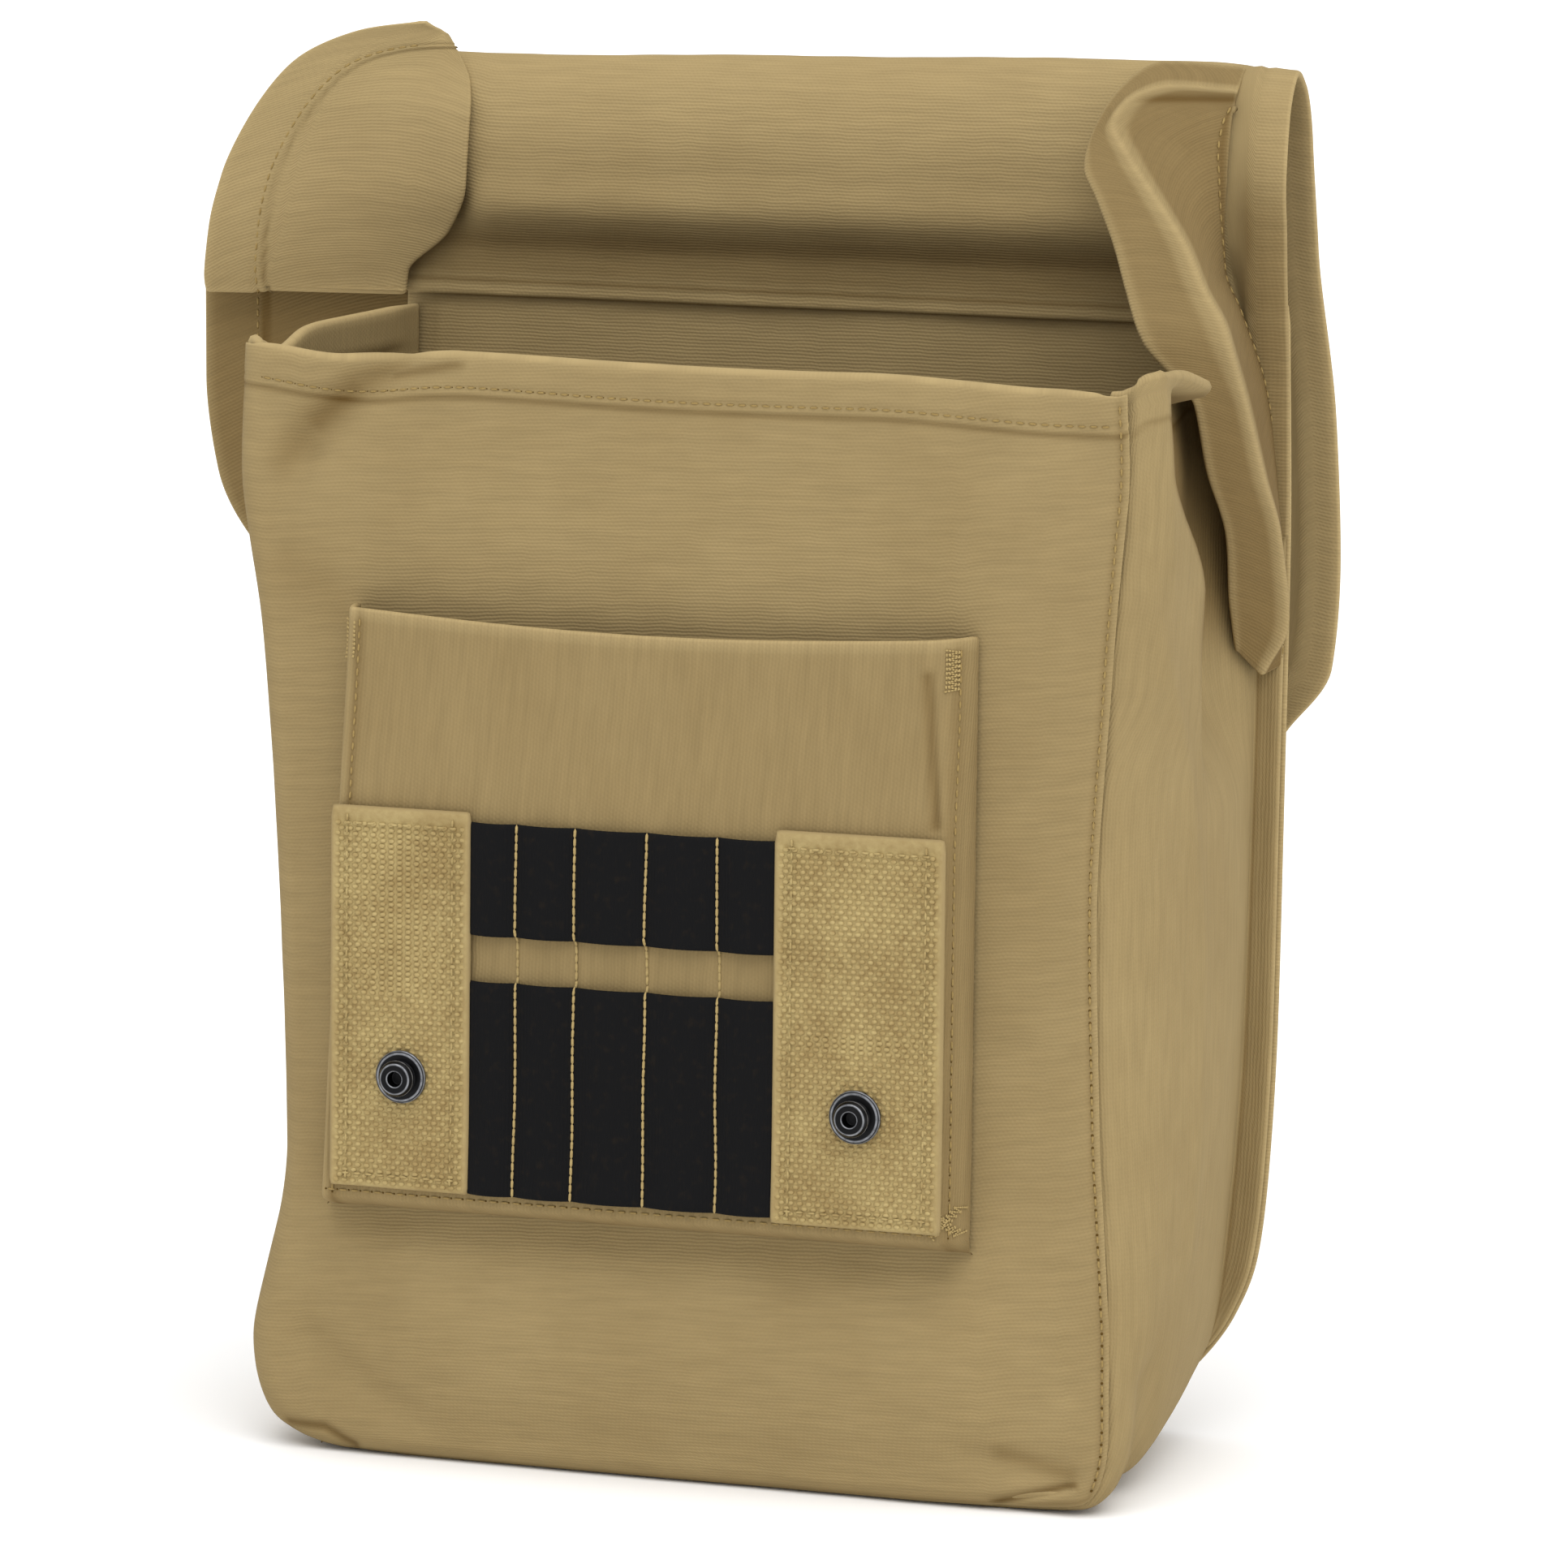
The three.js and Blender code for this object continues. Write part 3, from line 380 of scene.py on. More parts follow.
# Broad tones, most of them painted light and shade: strength, where each begins and where it is full
BROAD_TONES = {
    "mouth_hem": (0.05, 0.8, -0.5),
    "gusset_hem": (0.1, 0.5, -0.5),
    # Painted shade on the seam allowance
    "flange": (-0.25, 0.07, 0.05),
    # Painted light inside the left wall and on the upper back panel
    "left_inside": (0.5, 225, 245),
    "back_top": (0.5, 200, 240),
    "flap_hem": (0.2, 0.5, -0.5),
    # Painted light on the top of the roll, and painted shade on the flap's strip by the right wing
    "flap_roll": (0.5, 300, 315),
    "flap_strip": (-0.3, 100, 104),
    "left_wing_hem": (0.1, 0.8, -0.8),
    # Painted light on the left wing's upper face, painted shade on its part below the pleat, and painted
    # shade on the right wing's face, band and low part
    "left_wing_top": (0.4, PLEAT_ROWS.lip + 1, PLEAT_ROWS.lip + 3),
    "left_wing_low": (-0.75, PLEAT_ROWS.low, PLEAT_ROWS.low - 0.5),
    "right_wing_face": (-0.6, RIDGE.share + 0.06, RIDGE.share + 0.12),
    "right_wing_band": (-0.5, RIDGE.share - 0.06, RIDGE.share - 0.12),
    "right_wing_low": (-0.25, 0.45, 0.28),
}
# Heights over which the felled seam's line fades in and the strip's painted shade fades out, and how far the
# right wing's low painted shade keeps off the ridge
FELLED_Z = (280, 290)
STRIP_Z = (306, 290)
RIDGE_CLEAR = 0.05
# Painted shade over the whole pocket face, and more along its pleat
POCKET_TONE = SimpleNamespace(all=-0.2, pleat=-0.4)

# Camera fitted to the photograph, with its focal length and frame in pixels
VIEW = SimpleNamespace(
    yaw=math.radians(19.87), rise=math.radians(8.12), roll=math.radians(0.61),
    distance=2140.0, target=(5.0, 0.0, 160.4), focal=11088.0, frame=1932.0, sensor=36.0, far_metres=200.0,
)

# Studio: half the floor's side, strengths of the lights, and their places and sizes in metres
FLOOR_REACH = 40000.0
WHITE = (1.0, 1.0, 1.0, 1.0)
SKY_STRENGTH = 0.88
SUN = SimpleNamespace(energy=1.95, angle=math.radians(60), place=(0.25, -0.42, 0.87))
FILL = SimpleNamespace(energy=0.25, width=0.5, height=0.25, place=(0.55, -0.15, 0.05))


def linear(code):
    """Turn an sRGB hex colour into linear red, green and blue."""
    shares = [int(code[i:i + 2], 16) / 255 for i in (0, 2, 4)]
    return [s / 12.92 if s <= 0.04045 else ((s + 0.055) / 1.055) ** 2.4 for s in shares]


def size(label, about, default):
    return FloatProperty(name=label, description=about, default=default, min=0.0, unit="LENGTH")


def colour(label, about, code):
    return FloatVectorProperty(
        name=label, description=about, default=linear(code), min=0.0, max=1.0, subtype="COLOR")


class CaseSizes(bpy.types.PropertyGroup):
    """Sizes of the cloth and of the sewing."""
    canvas: size("Canvas", "Thickness of the canvas", 0.0016)
    hem: size("Hem", "Thickness of the folded mouth hem", 0.003)
    mouth_hem: size("Mouth hem", "Width of the hem along the mouth", 0.0088)
    wing_hem: size("Wing hem", "Width of the hem round the wings", 0.015)
    webbing: size("Webbing", "Thickness of the webbing tabs", 0.002)
    elastic: size("Elastic", "Thickness of the elastic rows", 0.0012)
    warp: size("Webbing warp", "Spacing of the webbing's yarns across a tab", 0.0021)
    weft: size("Webbing weft", "Spacing of the webbing's rows along a tab", 0.00125)
    selvage: size("Selvage", "Width of the webbing's plain edges", 0.0008)
    pitch: size("Stitch pitch", "Length of one stitch and the gap after it", 0.0029)
    stitch: size("Stitch", "Visible length of one stitch", 0.0021)
    thread: size("Thread", "Thickness of the sewing thread", 0.0006)


class CaseColours(bpy.types.PropertyGroup):
    """Colours of the cloth, the elastic and the metal."""
    canvas: colour("Canvas", "Khaki of the canvas", "94815A")
    # Paler khaki for wear on edges and hems, and for painted light on lit tops and ridges
    worn: colour("Worn canvas", "Paler khaki on worn edges and hems", "AA956A")
    # Browner khaki for painted shade in grooves, creases, recesses and under the roll; also for uneven dye,
    # plies, dust and needle holes
    shade: colour("Soiled canvas", "Browner khaki in seams and creases", "5E4722")
    webbing: colour("Webbing", "Straw khaki of the webbing", "AD9A6A")
    webbing_shade: colour("Webbing shade", "Khaki between the webbing's yarns", "836B41")
    elastic: colour("Elastic", "Black of the elastic", "0E0E0F")
    thread: colour("Thread", "Khaki of the sewing thread", "98814F")
    pale_thread: colour("Pale thread", "Tan of the thread across the elastic", "AC9664")
    # Needle holes: brown painted as the shade inside them
    hole: colour("Needle hole", "Brown of the cloth pulled into a needle hole", "4E3C1C")
    metal: colour("Snap metal", "Black lacquer of the snaps", "0B0B0D")
    # Light grey painted as highlights on the snaps' rims
    rubbed_metal: colour("Rubbed snap metal", "Grey of the snaps' rubbed rims", "A9ABB0")
    floor: colour("Floor", "White of the studio floor", "F7F7F7")


def sizes():
    """Sizes in millimetres, by name."""
    group = bpy.context.scene.case_sizes
    return SimpleNamespace(**{name: getattr(group, name) / MM for name in CaseSizes.__annotations__})


# Tables and small curves

def table(columns, rows):
    return dict(zip(columns.split(), np.array(rows, float).T))


GUSSET = table(GUSSET_COLUMNS, GUSSET_ROWS)
BACK = table(BACK_COLUMNS, BACK_ROWS)
FLAP = table(FLAP_COLUMNS, FLAP_ROWS)
LEFT_WING = table(LEFT_WING_COLUMNS, LEFT_WING_ROWS)
RIGHT_WING = table(RIGHT_WING_COLUMNS, RIGHT_WING_ROWS)


def smooth_at(values, row):
    """Smooth value at a fractional row of a column, never past the rows on both sides."""
    row = np.asarray(row, float)
    rise = np.diff(values)
    before, after = rise[:-1], rise[1:]
    product = before * after
    total = np.where(product > 0, before + after, 1.0)
    slope = np.concatenate([rise[:1], np.where(product > 0, 2 * product / total, 0.0), rise[-1:]])
    low = np.clip(np.floor(row), 0, len(values) - 2).astype(int)
    t = row - low
    ease = t * t * (3 - 2 * t)
    leave = t * (1 - t) ** 2
    arrive = t * t * (t - 1)
    return values[low] + rise[low] * ease + slope[low] * leave + slope[low + 1] * arrive


def mix(a, b, share):
    return a + (b - a) * share


def smoothstep(value, low, high):
    t = np.clip((value - low) / (high - low), 0, 1)
    return t * t * (3 - 2 * t)


def bell(distance, reach):
    return np.exp(-((distance / reach) ** 2))


def plateau(value, begin, full, keep, end):
    """Rises to 1 between begin and full, and falls back to 0 between keep and end."""
    return smoothstep(value, begin, full) * (1 - smoothstep(value, keep, end))


def bend(start, corner, end, t):
    """Curve from start to end that turns at a corner."""
    return (1 - t) ** 2 * start + 2 * t * (1 - t) * corner + t ** 2 * end


def stack(x, y, z):
    return np.stack(np.broadcast_arrays(x, y, z), axis=-1)


def unit(vectors):
    length = np.linalg.norm(vectors, axis=-1, keepdims=True)
    return vectors / np.maximum(length, 1e-9)


def ripple(a, b, wave, seed):
    """Gentle unevenness of hand-sewn cloth, from -1 to 1, the same on each run."""
    total = 0.0
    for k in range(4):
        angle = seed + 2.4 * k
        phase = 1.7 * seed + 0.9 * k * k
        reach = wave * (1 + 0.35 * k)
        total = total + np.sin((a * math.cos(angle) + b * math.sin(angle)) * 2 * math.pi / reach + phase)
    return total / 4


def uneven(name, a, b):
    return sum(height * ripple(a, b, wave, seed) for height, wave, seed in RIPPLES[name])


def line_tone(name, place):
    return sum(strength * bell(place - middle, reach) for strength, middle, reach in LINE_TONES[name])


def broad_tone(name, place):
    strength, begin, full = BROAD_TONES[name]
    return strength * smoothstep(place, begin, full)


def soft_line(x, z, line):
    """Depth at x, z of one soft line from a place to a place."""
    (from_x, from_z), (to_x, to_z), width, depth = line
    run_x, run_z = to_x - from_x, to_z - from_z
    share = ((x - from_x) * run_x + (z - from_z) * run_z) / (run_x ** 2 + run_z ** 2)
    share = np.clip(share, 0, 1)
    away = np.hypot(x - from_x - run_x * share, z - from_z - run_z * share)
    return depth * bell(away, width)


def strongest(x, z, lines):
    """Soft lines that cross without adding up: the highest and the deepest at each place."""
    depths = [soft_line(x, z, line) for line in lines]
    return np.max(depths, axis=0) + np.min(depths, axis=0)


def row_of(rows, v):
    return v * (len(rows) - 1)


# Shapes of the cloth: finer than the solids, with edges and small folds that the solids leave out

def edge_station(row):
    """Outline of the front edge at a station, with its outward direction and its rounding."""
    row = np.asarray(row, float)
    before, after = np.maximum(row - STEP, 0), np.minimum(row + STEP, LAST_STATION)
    tangent_x = smooth_at(GUSSET["front_x"], after) - smooth_at(GUSSET["front_x"], before)
    tangent_z = smooth_at(GUSSET["front_z"], after) - smooth_at(GUSSET["front_z"], before)
    length = np.hypot(tangent_x, tangent_z)
    station = SimpleNamespace(
        x=smooth_at(GUSSET["front_x"], row), z=smooth_at(GUSSET["front_z"], row),
        out_x=tangent_z / length, out_z=-tangent_x / length,
        roll_in=smooth_at(GUSSET["roll_in"], row), roll_deep=smooth_at(GUSSET["roll_deep"], row),
        seam=np.radians(smooth_at(GUSSET["seam"], row)))
    across, deep = station.roll_in * np.cos(station.seam), station.roll_deep * np.sin(station.seam)
    station.speed = np.hypot(across, deep)
    return station


def roll_point(station, angle):
    inset = station.roll_in * (1 - np.sin(angle))
    y = FRONT_PLANE + station.roll_deep * (1 - np.cos(angle))
    return stack(station.x - station.out_x * inset, y, station.z - station.out_z * inset)


def roll_facing(station, angle):
    sideways = np.sin(angle) / station.roll_in
    forward = -np.cos(angle) / station.roll_deep
    return unit(stack(station.out_x * sideways, forward, station.out_z * sideways))


def hollow_lean(z):
    return HOLLOW_LEAN.run * (1 - smoothstep(z, *HOLLOW_LEAN.z))


def side_point(row, y):
    """Point of the gusset's side wall at a station and a depth."""
    station = edge_station(row)
    start = FRONT_PLANE + station.roll_deep
    back = (y - start) / (BACK_SEAM - start)
    hold = smooth_at(GUSSET["hold"], row)
    turn = np.maximum(0, (back - hold) / (1 - hold)) ** REAR_TURN
    x = mix(station.x, smooth_at(GUSSET["rear_x"], row), turn)
    z = mix(station.z, smooth_at(GUSSET["rear_z"], row), turn)
    end_z, low_z, full_z, top_z = HOLLOW_Z
    front_y, full_y, fade_y, rear_y = HOLLOW_Y
    beak = smoothstep(z, full_z, top_z) * (1 - smoothstep(y, *HOLLOW_BEAK_Y))
    height = smoothstep(z, end_z, low_z) * (1 - beak)
    across = smoothstep(y - hollow_lean(z), front_y, full_y) * (1 - smoothstep(y, fade_y, rear_y))
    hollow = HOLLOW_DEPTH * height * across
    sag = MOUTH_SAG.drop * bell(y - MOUTH_SAG.y, MOUTH_SAG.reach) * smoothstep(z, *MOUTH_SAG.z)
    left_sag = LEFT_SAG.drop * bell(y - LEFT_SAG.y, LEFT_SAG.reach) * smoothstep(z, *LEFT_SAG.z)
    right = x > 0
    return stack(np.where(right, x - hollow, x), y, z - np.where(right, sag, left_sag))


def flange_edge(row):
    """Outer edge of the seam allowance, just inside the back panel's outline."""
    rows = np.linspace(0, len(BACK_ROWS) - 1, 200)
    half, height = smooth_at(BACK["half"], rows), smooth_at(BACK["z"], rows)
    outline_x = np.concatenate([-half[::-1], half])
    outline_z = np.concatenate([height[::-1], height])
    x, z = smooth_at(GUSSET["rear_x"], row), smooth_at(GUSSET["rear_z"], row)
    away = np.hypot(outline_x - x[..., None], outline_z - z[..., None])
    nearest = np.argmin(away, axis=-1)
    reach = np.maximum(1 - FLANGE.short / np.maximum(away.min(axis=-1), 1e-6), 0)
    flange_x = x + (outline_x[nearest] - x) * reach
    flange_z = z + (outline_z[nearest] - z) * reach
    return stack(flange_x, FLANGE.face_y, flange_z)


def mouth_drop(x):
    right = RIGHT_DIP.drop * plateau(x, *RIGHT_DIP.x)
    return right + sum(drop * bell(x - place, reach) for place, reach, drop in MOUTH_DIPS)


def mouth_height(x):
    (left_x, left_z), (right_x, right_z) = MOUTH_ENDS
    return mix(left_z, right_z, (x - left_x) / (right_x - left_x)) - mouth_drop(x)


def gusset_surface(u, v):
    """Gusset: u runs along the outline, v from the flange at the back to the seam under the front panel."""
    row = u * LAST_STATION
    station = edge_station(row)
    turned = np.clip(v / FLANGE.share, 0, 1)[..., None]
    foot = side_point(row, np.full_like(row, BACK_SEAM))
    foot[..., 1] = FLANGE.face_y
    wall = side_point(row, np.full_like(row, FLANGE.turn_y))
    flange = bend(flange_edge(row), foot, wall, turned)
    ahead = np.clip((v - FLANGE.share) / (1 - FLANGE.share), 0, 1)
    side_share = 1 - ROLL_SHARE
    side_y = mix(FLANGE.turn_y, FRONT_PLANE + station.roll_deep, np.clip(ahead / side_share, 0, 1))
    side = side_point(row, side_y)
    rolled = np.clip((ahead - side_share) / ROLL_SHARE, 0, 1)
    angle = mix(math.pi / 2, station.seam - LAP.under / station.speed, rolled)
    past = (angle - station.seam) * station.speed
    dip = LAP.dip * (1 - smoothstep(past, LAP.over, LAP.over + LAP.fade))
    roll = roll_point(station, angle) - roll_facing(station, angle) * dip[..., None]
    points = np.where((v < FLANGE.share)[..., None], flange, side)
    points = np.where((ahead > side_share)[..., None], roll, points)
    x, y, z = np.moveaxis(points, -1, 0)
    dipped = mouth_drop(x) * smoothstep(z, *MOUTH_DIP_Z) * (1 - smoothstep(y, *MOUTH_FRONT_Y))
    return stack(x, y, np.maximum(z - dipped, 0))


EDGE = edge_station(np.linspace(0, LAST_STATION, EDGE_SAMPLES))


def front_base(x, z):
    """Depth of the front wall: flat in the middle, rounded towards the nearest edge, with its folds."""
    x, z = np.broadcast_arrays(x, z)
    shape = x.shape
    x, z = x.ravel(), z.ravel()
    depth = np.empty_like(x)
    for start in range(0, len(x), DEPTH_CHUNK):
        part = slice(start, start + DEPTH_CHUNK)
        away = np.hypot(EDGE.x - x[part, None], EDGE.z - z[part, None])
        near = np.argmin(away, axis=1)
        inset = (EDGE.x[near] - x[part]) * EDGE.out_x[near] + (EDGE.z[near] - z[part]) * EDGE.out_z[near]
        roll_in = EDGE.roll_in[near]
        share = np.clip(1 - inset / roll_in, 0, 0.999)
        fade = smoothstep(away.min(axis=1), roll_in * FOLD_FADE.roll_share, roll_in + FOLD_FADE.run)
        curve = EDGE.roll_deep[near] * (1 - np.sqrt(1 - share ** 2))
        relief = sum(soft_line(x[part], z[part], line) for line in FRONT_FOLDS) * fade
        creases = np.max([soft_line(x[part], z[part], line) for line in FRONT_CREASES], axis=0)
        depth[part] = FRONT_PLANE + curve + relief + creases
    return depth.reshape(shape)


def band_relief(distance, width, rise):
    """Raised hem band along an edge, with the dents of its stitch row and of its end."""
    past = distance - width
    band = rise * (1 - smoothstep(past, *BAND.soft))
    return band - sum(depth * bell(past - place, reach) for depth, place, reach in BAND.dents)


def front_depth(x, z):
    """Depth of the front wall with its hem and its unevenness."""
    hem = band_relief(mouth_height(x) - z, sizes().mouth_hem, HEM_RISE["front_panel"])
    return front_base(x, z) - hem + uneven("front_panel", x, z)


def front_edge(row, over):
    station = edge_station(row)
    return roll_point(station, station.seam + over / station.speed)


def front_surface(u, v):
    """Front panel, blended from its edges: u from left to right, v from the bottom seam to the mouth."""
    across, up = u[..., None], v[..., None]
    left = front_edge(mix(BOTTOM_LEFT_STATION, 0, v), LAP.over)
    right = front_edge(mix(BOTTOM_RIGHT_STATION, LAST_STATION, v), LAP.over)
    low_left, low_right, top_left, top_right = (
        front_edge(row, LAP.over) for row in (BOTTOM_LEFT_STATION, BOTTOM_RIGHT_STATION, 0, LAST_STATION))
    mouth = mix(top_left, top_right, across)
    low = front_edge(mix(BOTTOM_LEFT_STATION, BOTTOM_RIGHT_STATION, u), LAP.over)
    corners = mix(mix(low_left, low_right, across), mouth, up)
    points = mix(left, right, across) + mix(low, mouth, up) - corners
    x, z = points[..., 0], points[..., 2]
    z = z - mouth_drop(x) * smoothstep(z, *MOUTH_DIP_Z)
    return stack(x, front_depth(x, z), np.maximum(z, 0.1))


def back_surface(u, v):
    """Back panel: u from right to left, v from the foot up."""
    row = row_of(BACK_ROWS, v)
    half, z = smooth_at(BACK["half"], row), smooth_at(BACK["z"], row)
    x = mix(half, -half, u)
    across = np.cos(math.pi * x / BACK_BELLY.width) ** 2
    along = np.sin(math.pi * z / BACK_BELLY.height) ** 2
    y = BACK_SEAM + GAP + sizes().canvas + BACK_BELLY.depth * across * along
    return stack(x, y, z)


def flap_surface(u, v):
    """Flap: u from left to right, v along its length from the inner seam."""
    row = row_of(FLAP_ROWS, v)
    height = smooth_at(FLAP["z"], row)
    x = mix(smooth_at(FLAP["left"], row), smooth_at(FLAP["right"], row), u)
    drop = FLAP_CORNER.drop * smoothstep(x, *FLAP_CORNER.x)
    lift = (FLAP_TILT * x - drop) * smoothstep(height, *FLAP_LIFT_Z)
    low = (1 - smoothstep(height, *FLAP_TAIL.z)) * (row < FLAP_TOP_ROW)
    lift = lift - FLAP_TAIL.drop * smoothstep(x, *FLAP_TAIL.x) * low
    middle = plateau(x, *FLAP_BULGE.x) * (row < FLAP_TOP_ROW)
    bulge = FLAP_BULGE.depth * bell(height - FLAP_BULGE.z, FLAP_BULGE.reach) * middle
    return stack(x, smooth_at(FLAP["y"], row) - bulge, height + lift)


def wing_line(rows, line, row):
    return stack(*(smooth_at(rows[f"{line}_{axis}"], row) for axis in "xyz"))


def left_wing_surface(u, v):
    """Left wing: u from the free edge to the bag, v from the low tip up."""
    row = row_of(LEFT_WING_ROWS, v)
    points = mix(wing_line(LEFT_WING, "outer", row), wing_line(LEFT_WING, "inner", row), u[..., None])
    swell = LEFT_WING_SWELL.depth * np.sin(math.pi * u) * smoothstep(row, *LEFT_WING_SWELL.rows)
    points[..., 1] -= swell * np.minimum(left_wing_width(v) / LEFT_WING_SWELL.width, 1) ** 2
    return points


def right_wing_surface(u, v):
    """Right wing: u from the free edge over the ridge to the sewn edge, v from the low tip up."""
    row = row_of(RIGHT_WING_ROWS, v)
    free, ridge, sewn = (wing_line(RIGHT_WING, line, row) for line in ("free", "ridge", "sewn"))
    before = mix(free, ridge, 1 - RIDGE.turn / RIDGE.share)
    after = mix(ridge, sewn, RIDGE.turn / (1 - RIDGE.share))
    t = np.clip((u - RIDGE.share + RIDGE.turn) / (2 * RIDGE.turn), 0, 1)[..., None]
    points = bend(before, ridge, after, t)
    band = mix(free, ridge, (u / RIDGE.share)[..., None])
    face = mix(ridge, sewn, ((u - RIDGE.share) / (1 - RIDGE.share))[..., None])
    points = np.where((u < RIDGE.share - RIDGE.turn)[..., None], band, points)
    return np.where((u > RIDGE.share + RIDGE.turn)[..., None], face, points)


def pocket_stand(z):
    return mix(POCKET_STAND.low, POCKET_STAND.mouth, smoothstep(z, POCKET_STAND.flare_z, POCKET.top))


def pocket_flat(x, z):
    relief = sum(soft_line(x, z, line) for line in FRONT_FOLDS)
    return FRONT_PLANE + relief - GAP - sizes().canvas - pocket_stand(z)


def pocket_left(z):
    return mix(*POCKET.left, (z - POCKET.bottom) / (POCKET.top - POCKET.bottom))


def pocket_top(x):
    share = (x - POCKET.left[1]) / (POCKET.right - POCKET.left[1])
    return POCKET.top - POCKET.sag * np.sin(math.pi * np.clip(share, 0, 1))


def pocket_depth(x, z):
    """Face of the front pocket, which falls to the front wall at its sides and at its bottom."""
    def rise(distance, run):
        return np.sin(math.pi / 2 * np.clip(distance / run, 0, 1)) ** POCKET_WALL.roundness
    left = rise(x - pocket_left(z), POCKET_WALL.left)
    right = rise(POCKET.right - x, mix(*POCKET_WALL.right, smoothstep(z, *POCKET_WALL.slack_z)))
    low = rise(z - POCKET.bottom, POCKET_WALL.bottom)
    dents = soft_line(x, z, POCKET_PLEAT) + uneven("front_pocket", x, z)
    return pocket_flat(x, z) + pocket_stand(z) * (1 - left * right * low) + dents


def pocket_surface(u, v):
    """Front pocket: u from left to right, v from the bottom to the open top."""
    x = mix(mix(*POCKET.left, v), POCKET.right, u)
    z = mix(POCKET.bottom, pocket_top(x), v)
    return stack(x, pocket_depth(x, z), z)


def tab_depth(x, z):
    return pocket_flat(x, z) - GAP - sizes().webbing


def elastic_depth(x, z):
    """Face of an elastic row: flat along the channel seams and arched over each channel."""
    seams = np.array(CHANNEL_SEAMS)
    channel = np.clip(np.searchsorted(seams, x, side="right") - 1, 0, len(seams) - 2)
    share = np.clip((x - seams[channel]) / (seams[channel + 1] - seams[channel]), 0, 1)
    arch = CHANNEL_ARCH.height * np.sin(math.pi * share) ** CHANNEL_ARCH.roundness
    return pocket_flat(x, z) - GAP - sizes().elastic - arch


def facing_of(surface, u, v):
    """Outward direction of a surface at u, v."""
    along_u = surface(np.minimum(u + STEP, 1), v) - surface(np.maximum(u - STEP, 0), v)
    along_v = surface(u, np.minimum(v + STEP, 1)) - surface(u, np.maximum(v - STEP, 0))
    return unit(np.cross(along_u, along_v))


def raised(base, relief):
    """The base surface moved outwards by a relief in millimetres."""
    def surface(u, v):
        return base(u, v) + facing_of(base, u, v) * relief(u, v)[..., None]
    return surface


# Meshes

def steps(count):
    return np.linspace(0, 1, count + 1)


def fine_ends(count):
    """Steps from 0 to 1 that are closer at both ends."""
    t = steps(count)
    return mix(t, (1 - np.cos(math.pi * t)) / 2, 0.6)


def spans(*runs):
    """Steps from 0 in runs of their own fineness, each given by its end and its number of steps."""
    starts = [0.0] + [end for end, count in runs]
    parts = [np.linspace(start, end, count + 1)[1:] for start, (end, count) in zip(starts, runs)]
    return np.concatenate([[0.0], *parts])


def grid(us, vs):
    return np.meshgrid(us, vs)


def lengths_along(points, axis):
    """Length along a grid's lines from their start, in millimetres."""
    pieces = np.linalg.norm(np.diff(points, axis=axis), axis=-1)
    start = np.zeros_like(np.take(pieces, [0], axis=axis))
    return np.concatenate([start, np.cumsum(pieces, axis=axis)], axis=axis)


def from_sides(points):
    """Length along a grid's rows from the nearer of their two ends."""
    return np.minimum(lengths_along(points, 1), lengths_along(points[:, ::-1], 1)[:, ::-1])


def edge_distance(points, outline):
    """Shortest distance from each point to the points along an outline."""
    flat = points.reshape(-1, 3)
    chunks = [flat[k:k + DEPTH_CHUNK, None] for k in range(0, len(flat), DEPTH_CHUNK)]
    nearest = [np.linalg.norm(chunk - outline, axis=-1).min(axis=1) for chunk in chunks]
    return np.concatenate(nearest).reshape(points.shape[:-1])


def new_object(name, points, faces, material):
    """Make a smooth mesh object from points in millimetres."""
    mesh = bpy.data.meshes.new(name)
    mesh.from_pydata((np.asarray(points) * MM).tolist(), [], faces)
    mesh.materials.append(material)
    mesh.shade_smooth()
    obj = bpy.data.objects.new(name, mesh)
    bpy.context.scene.collection.objects.link(obj)
    return obj


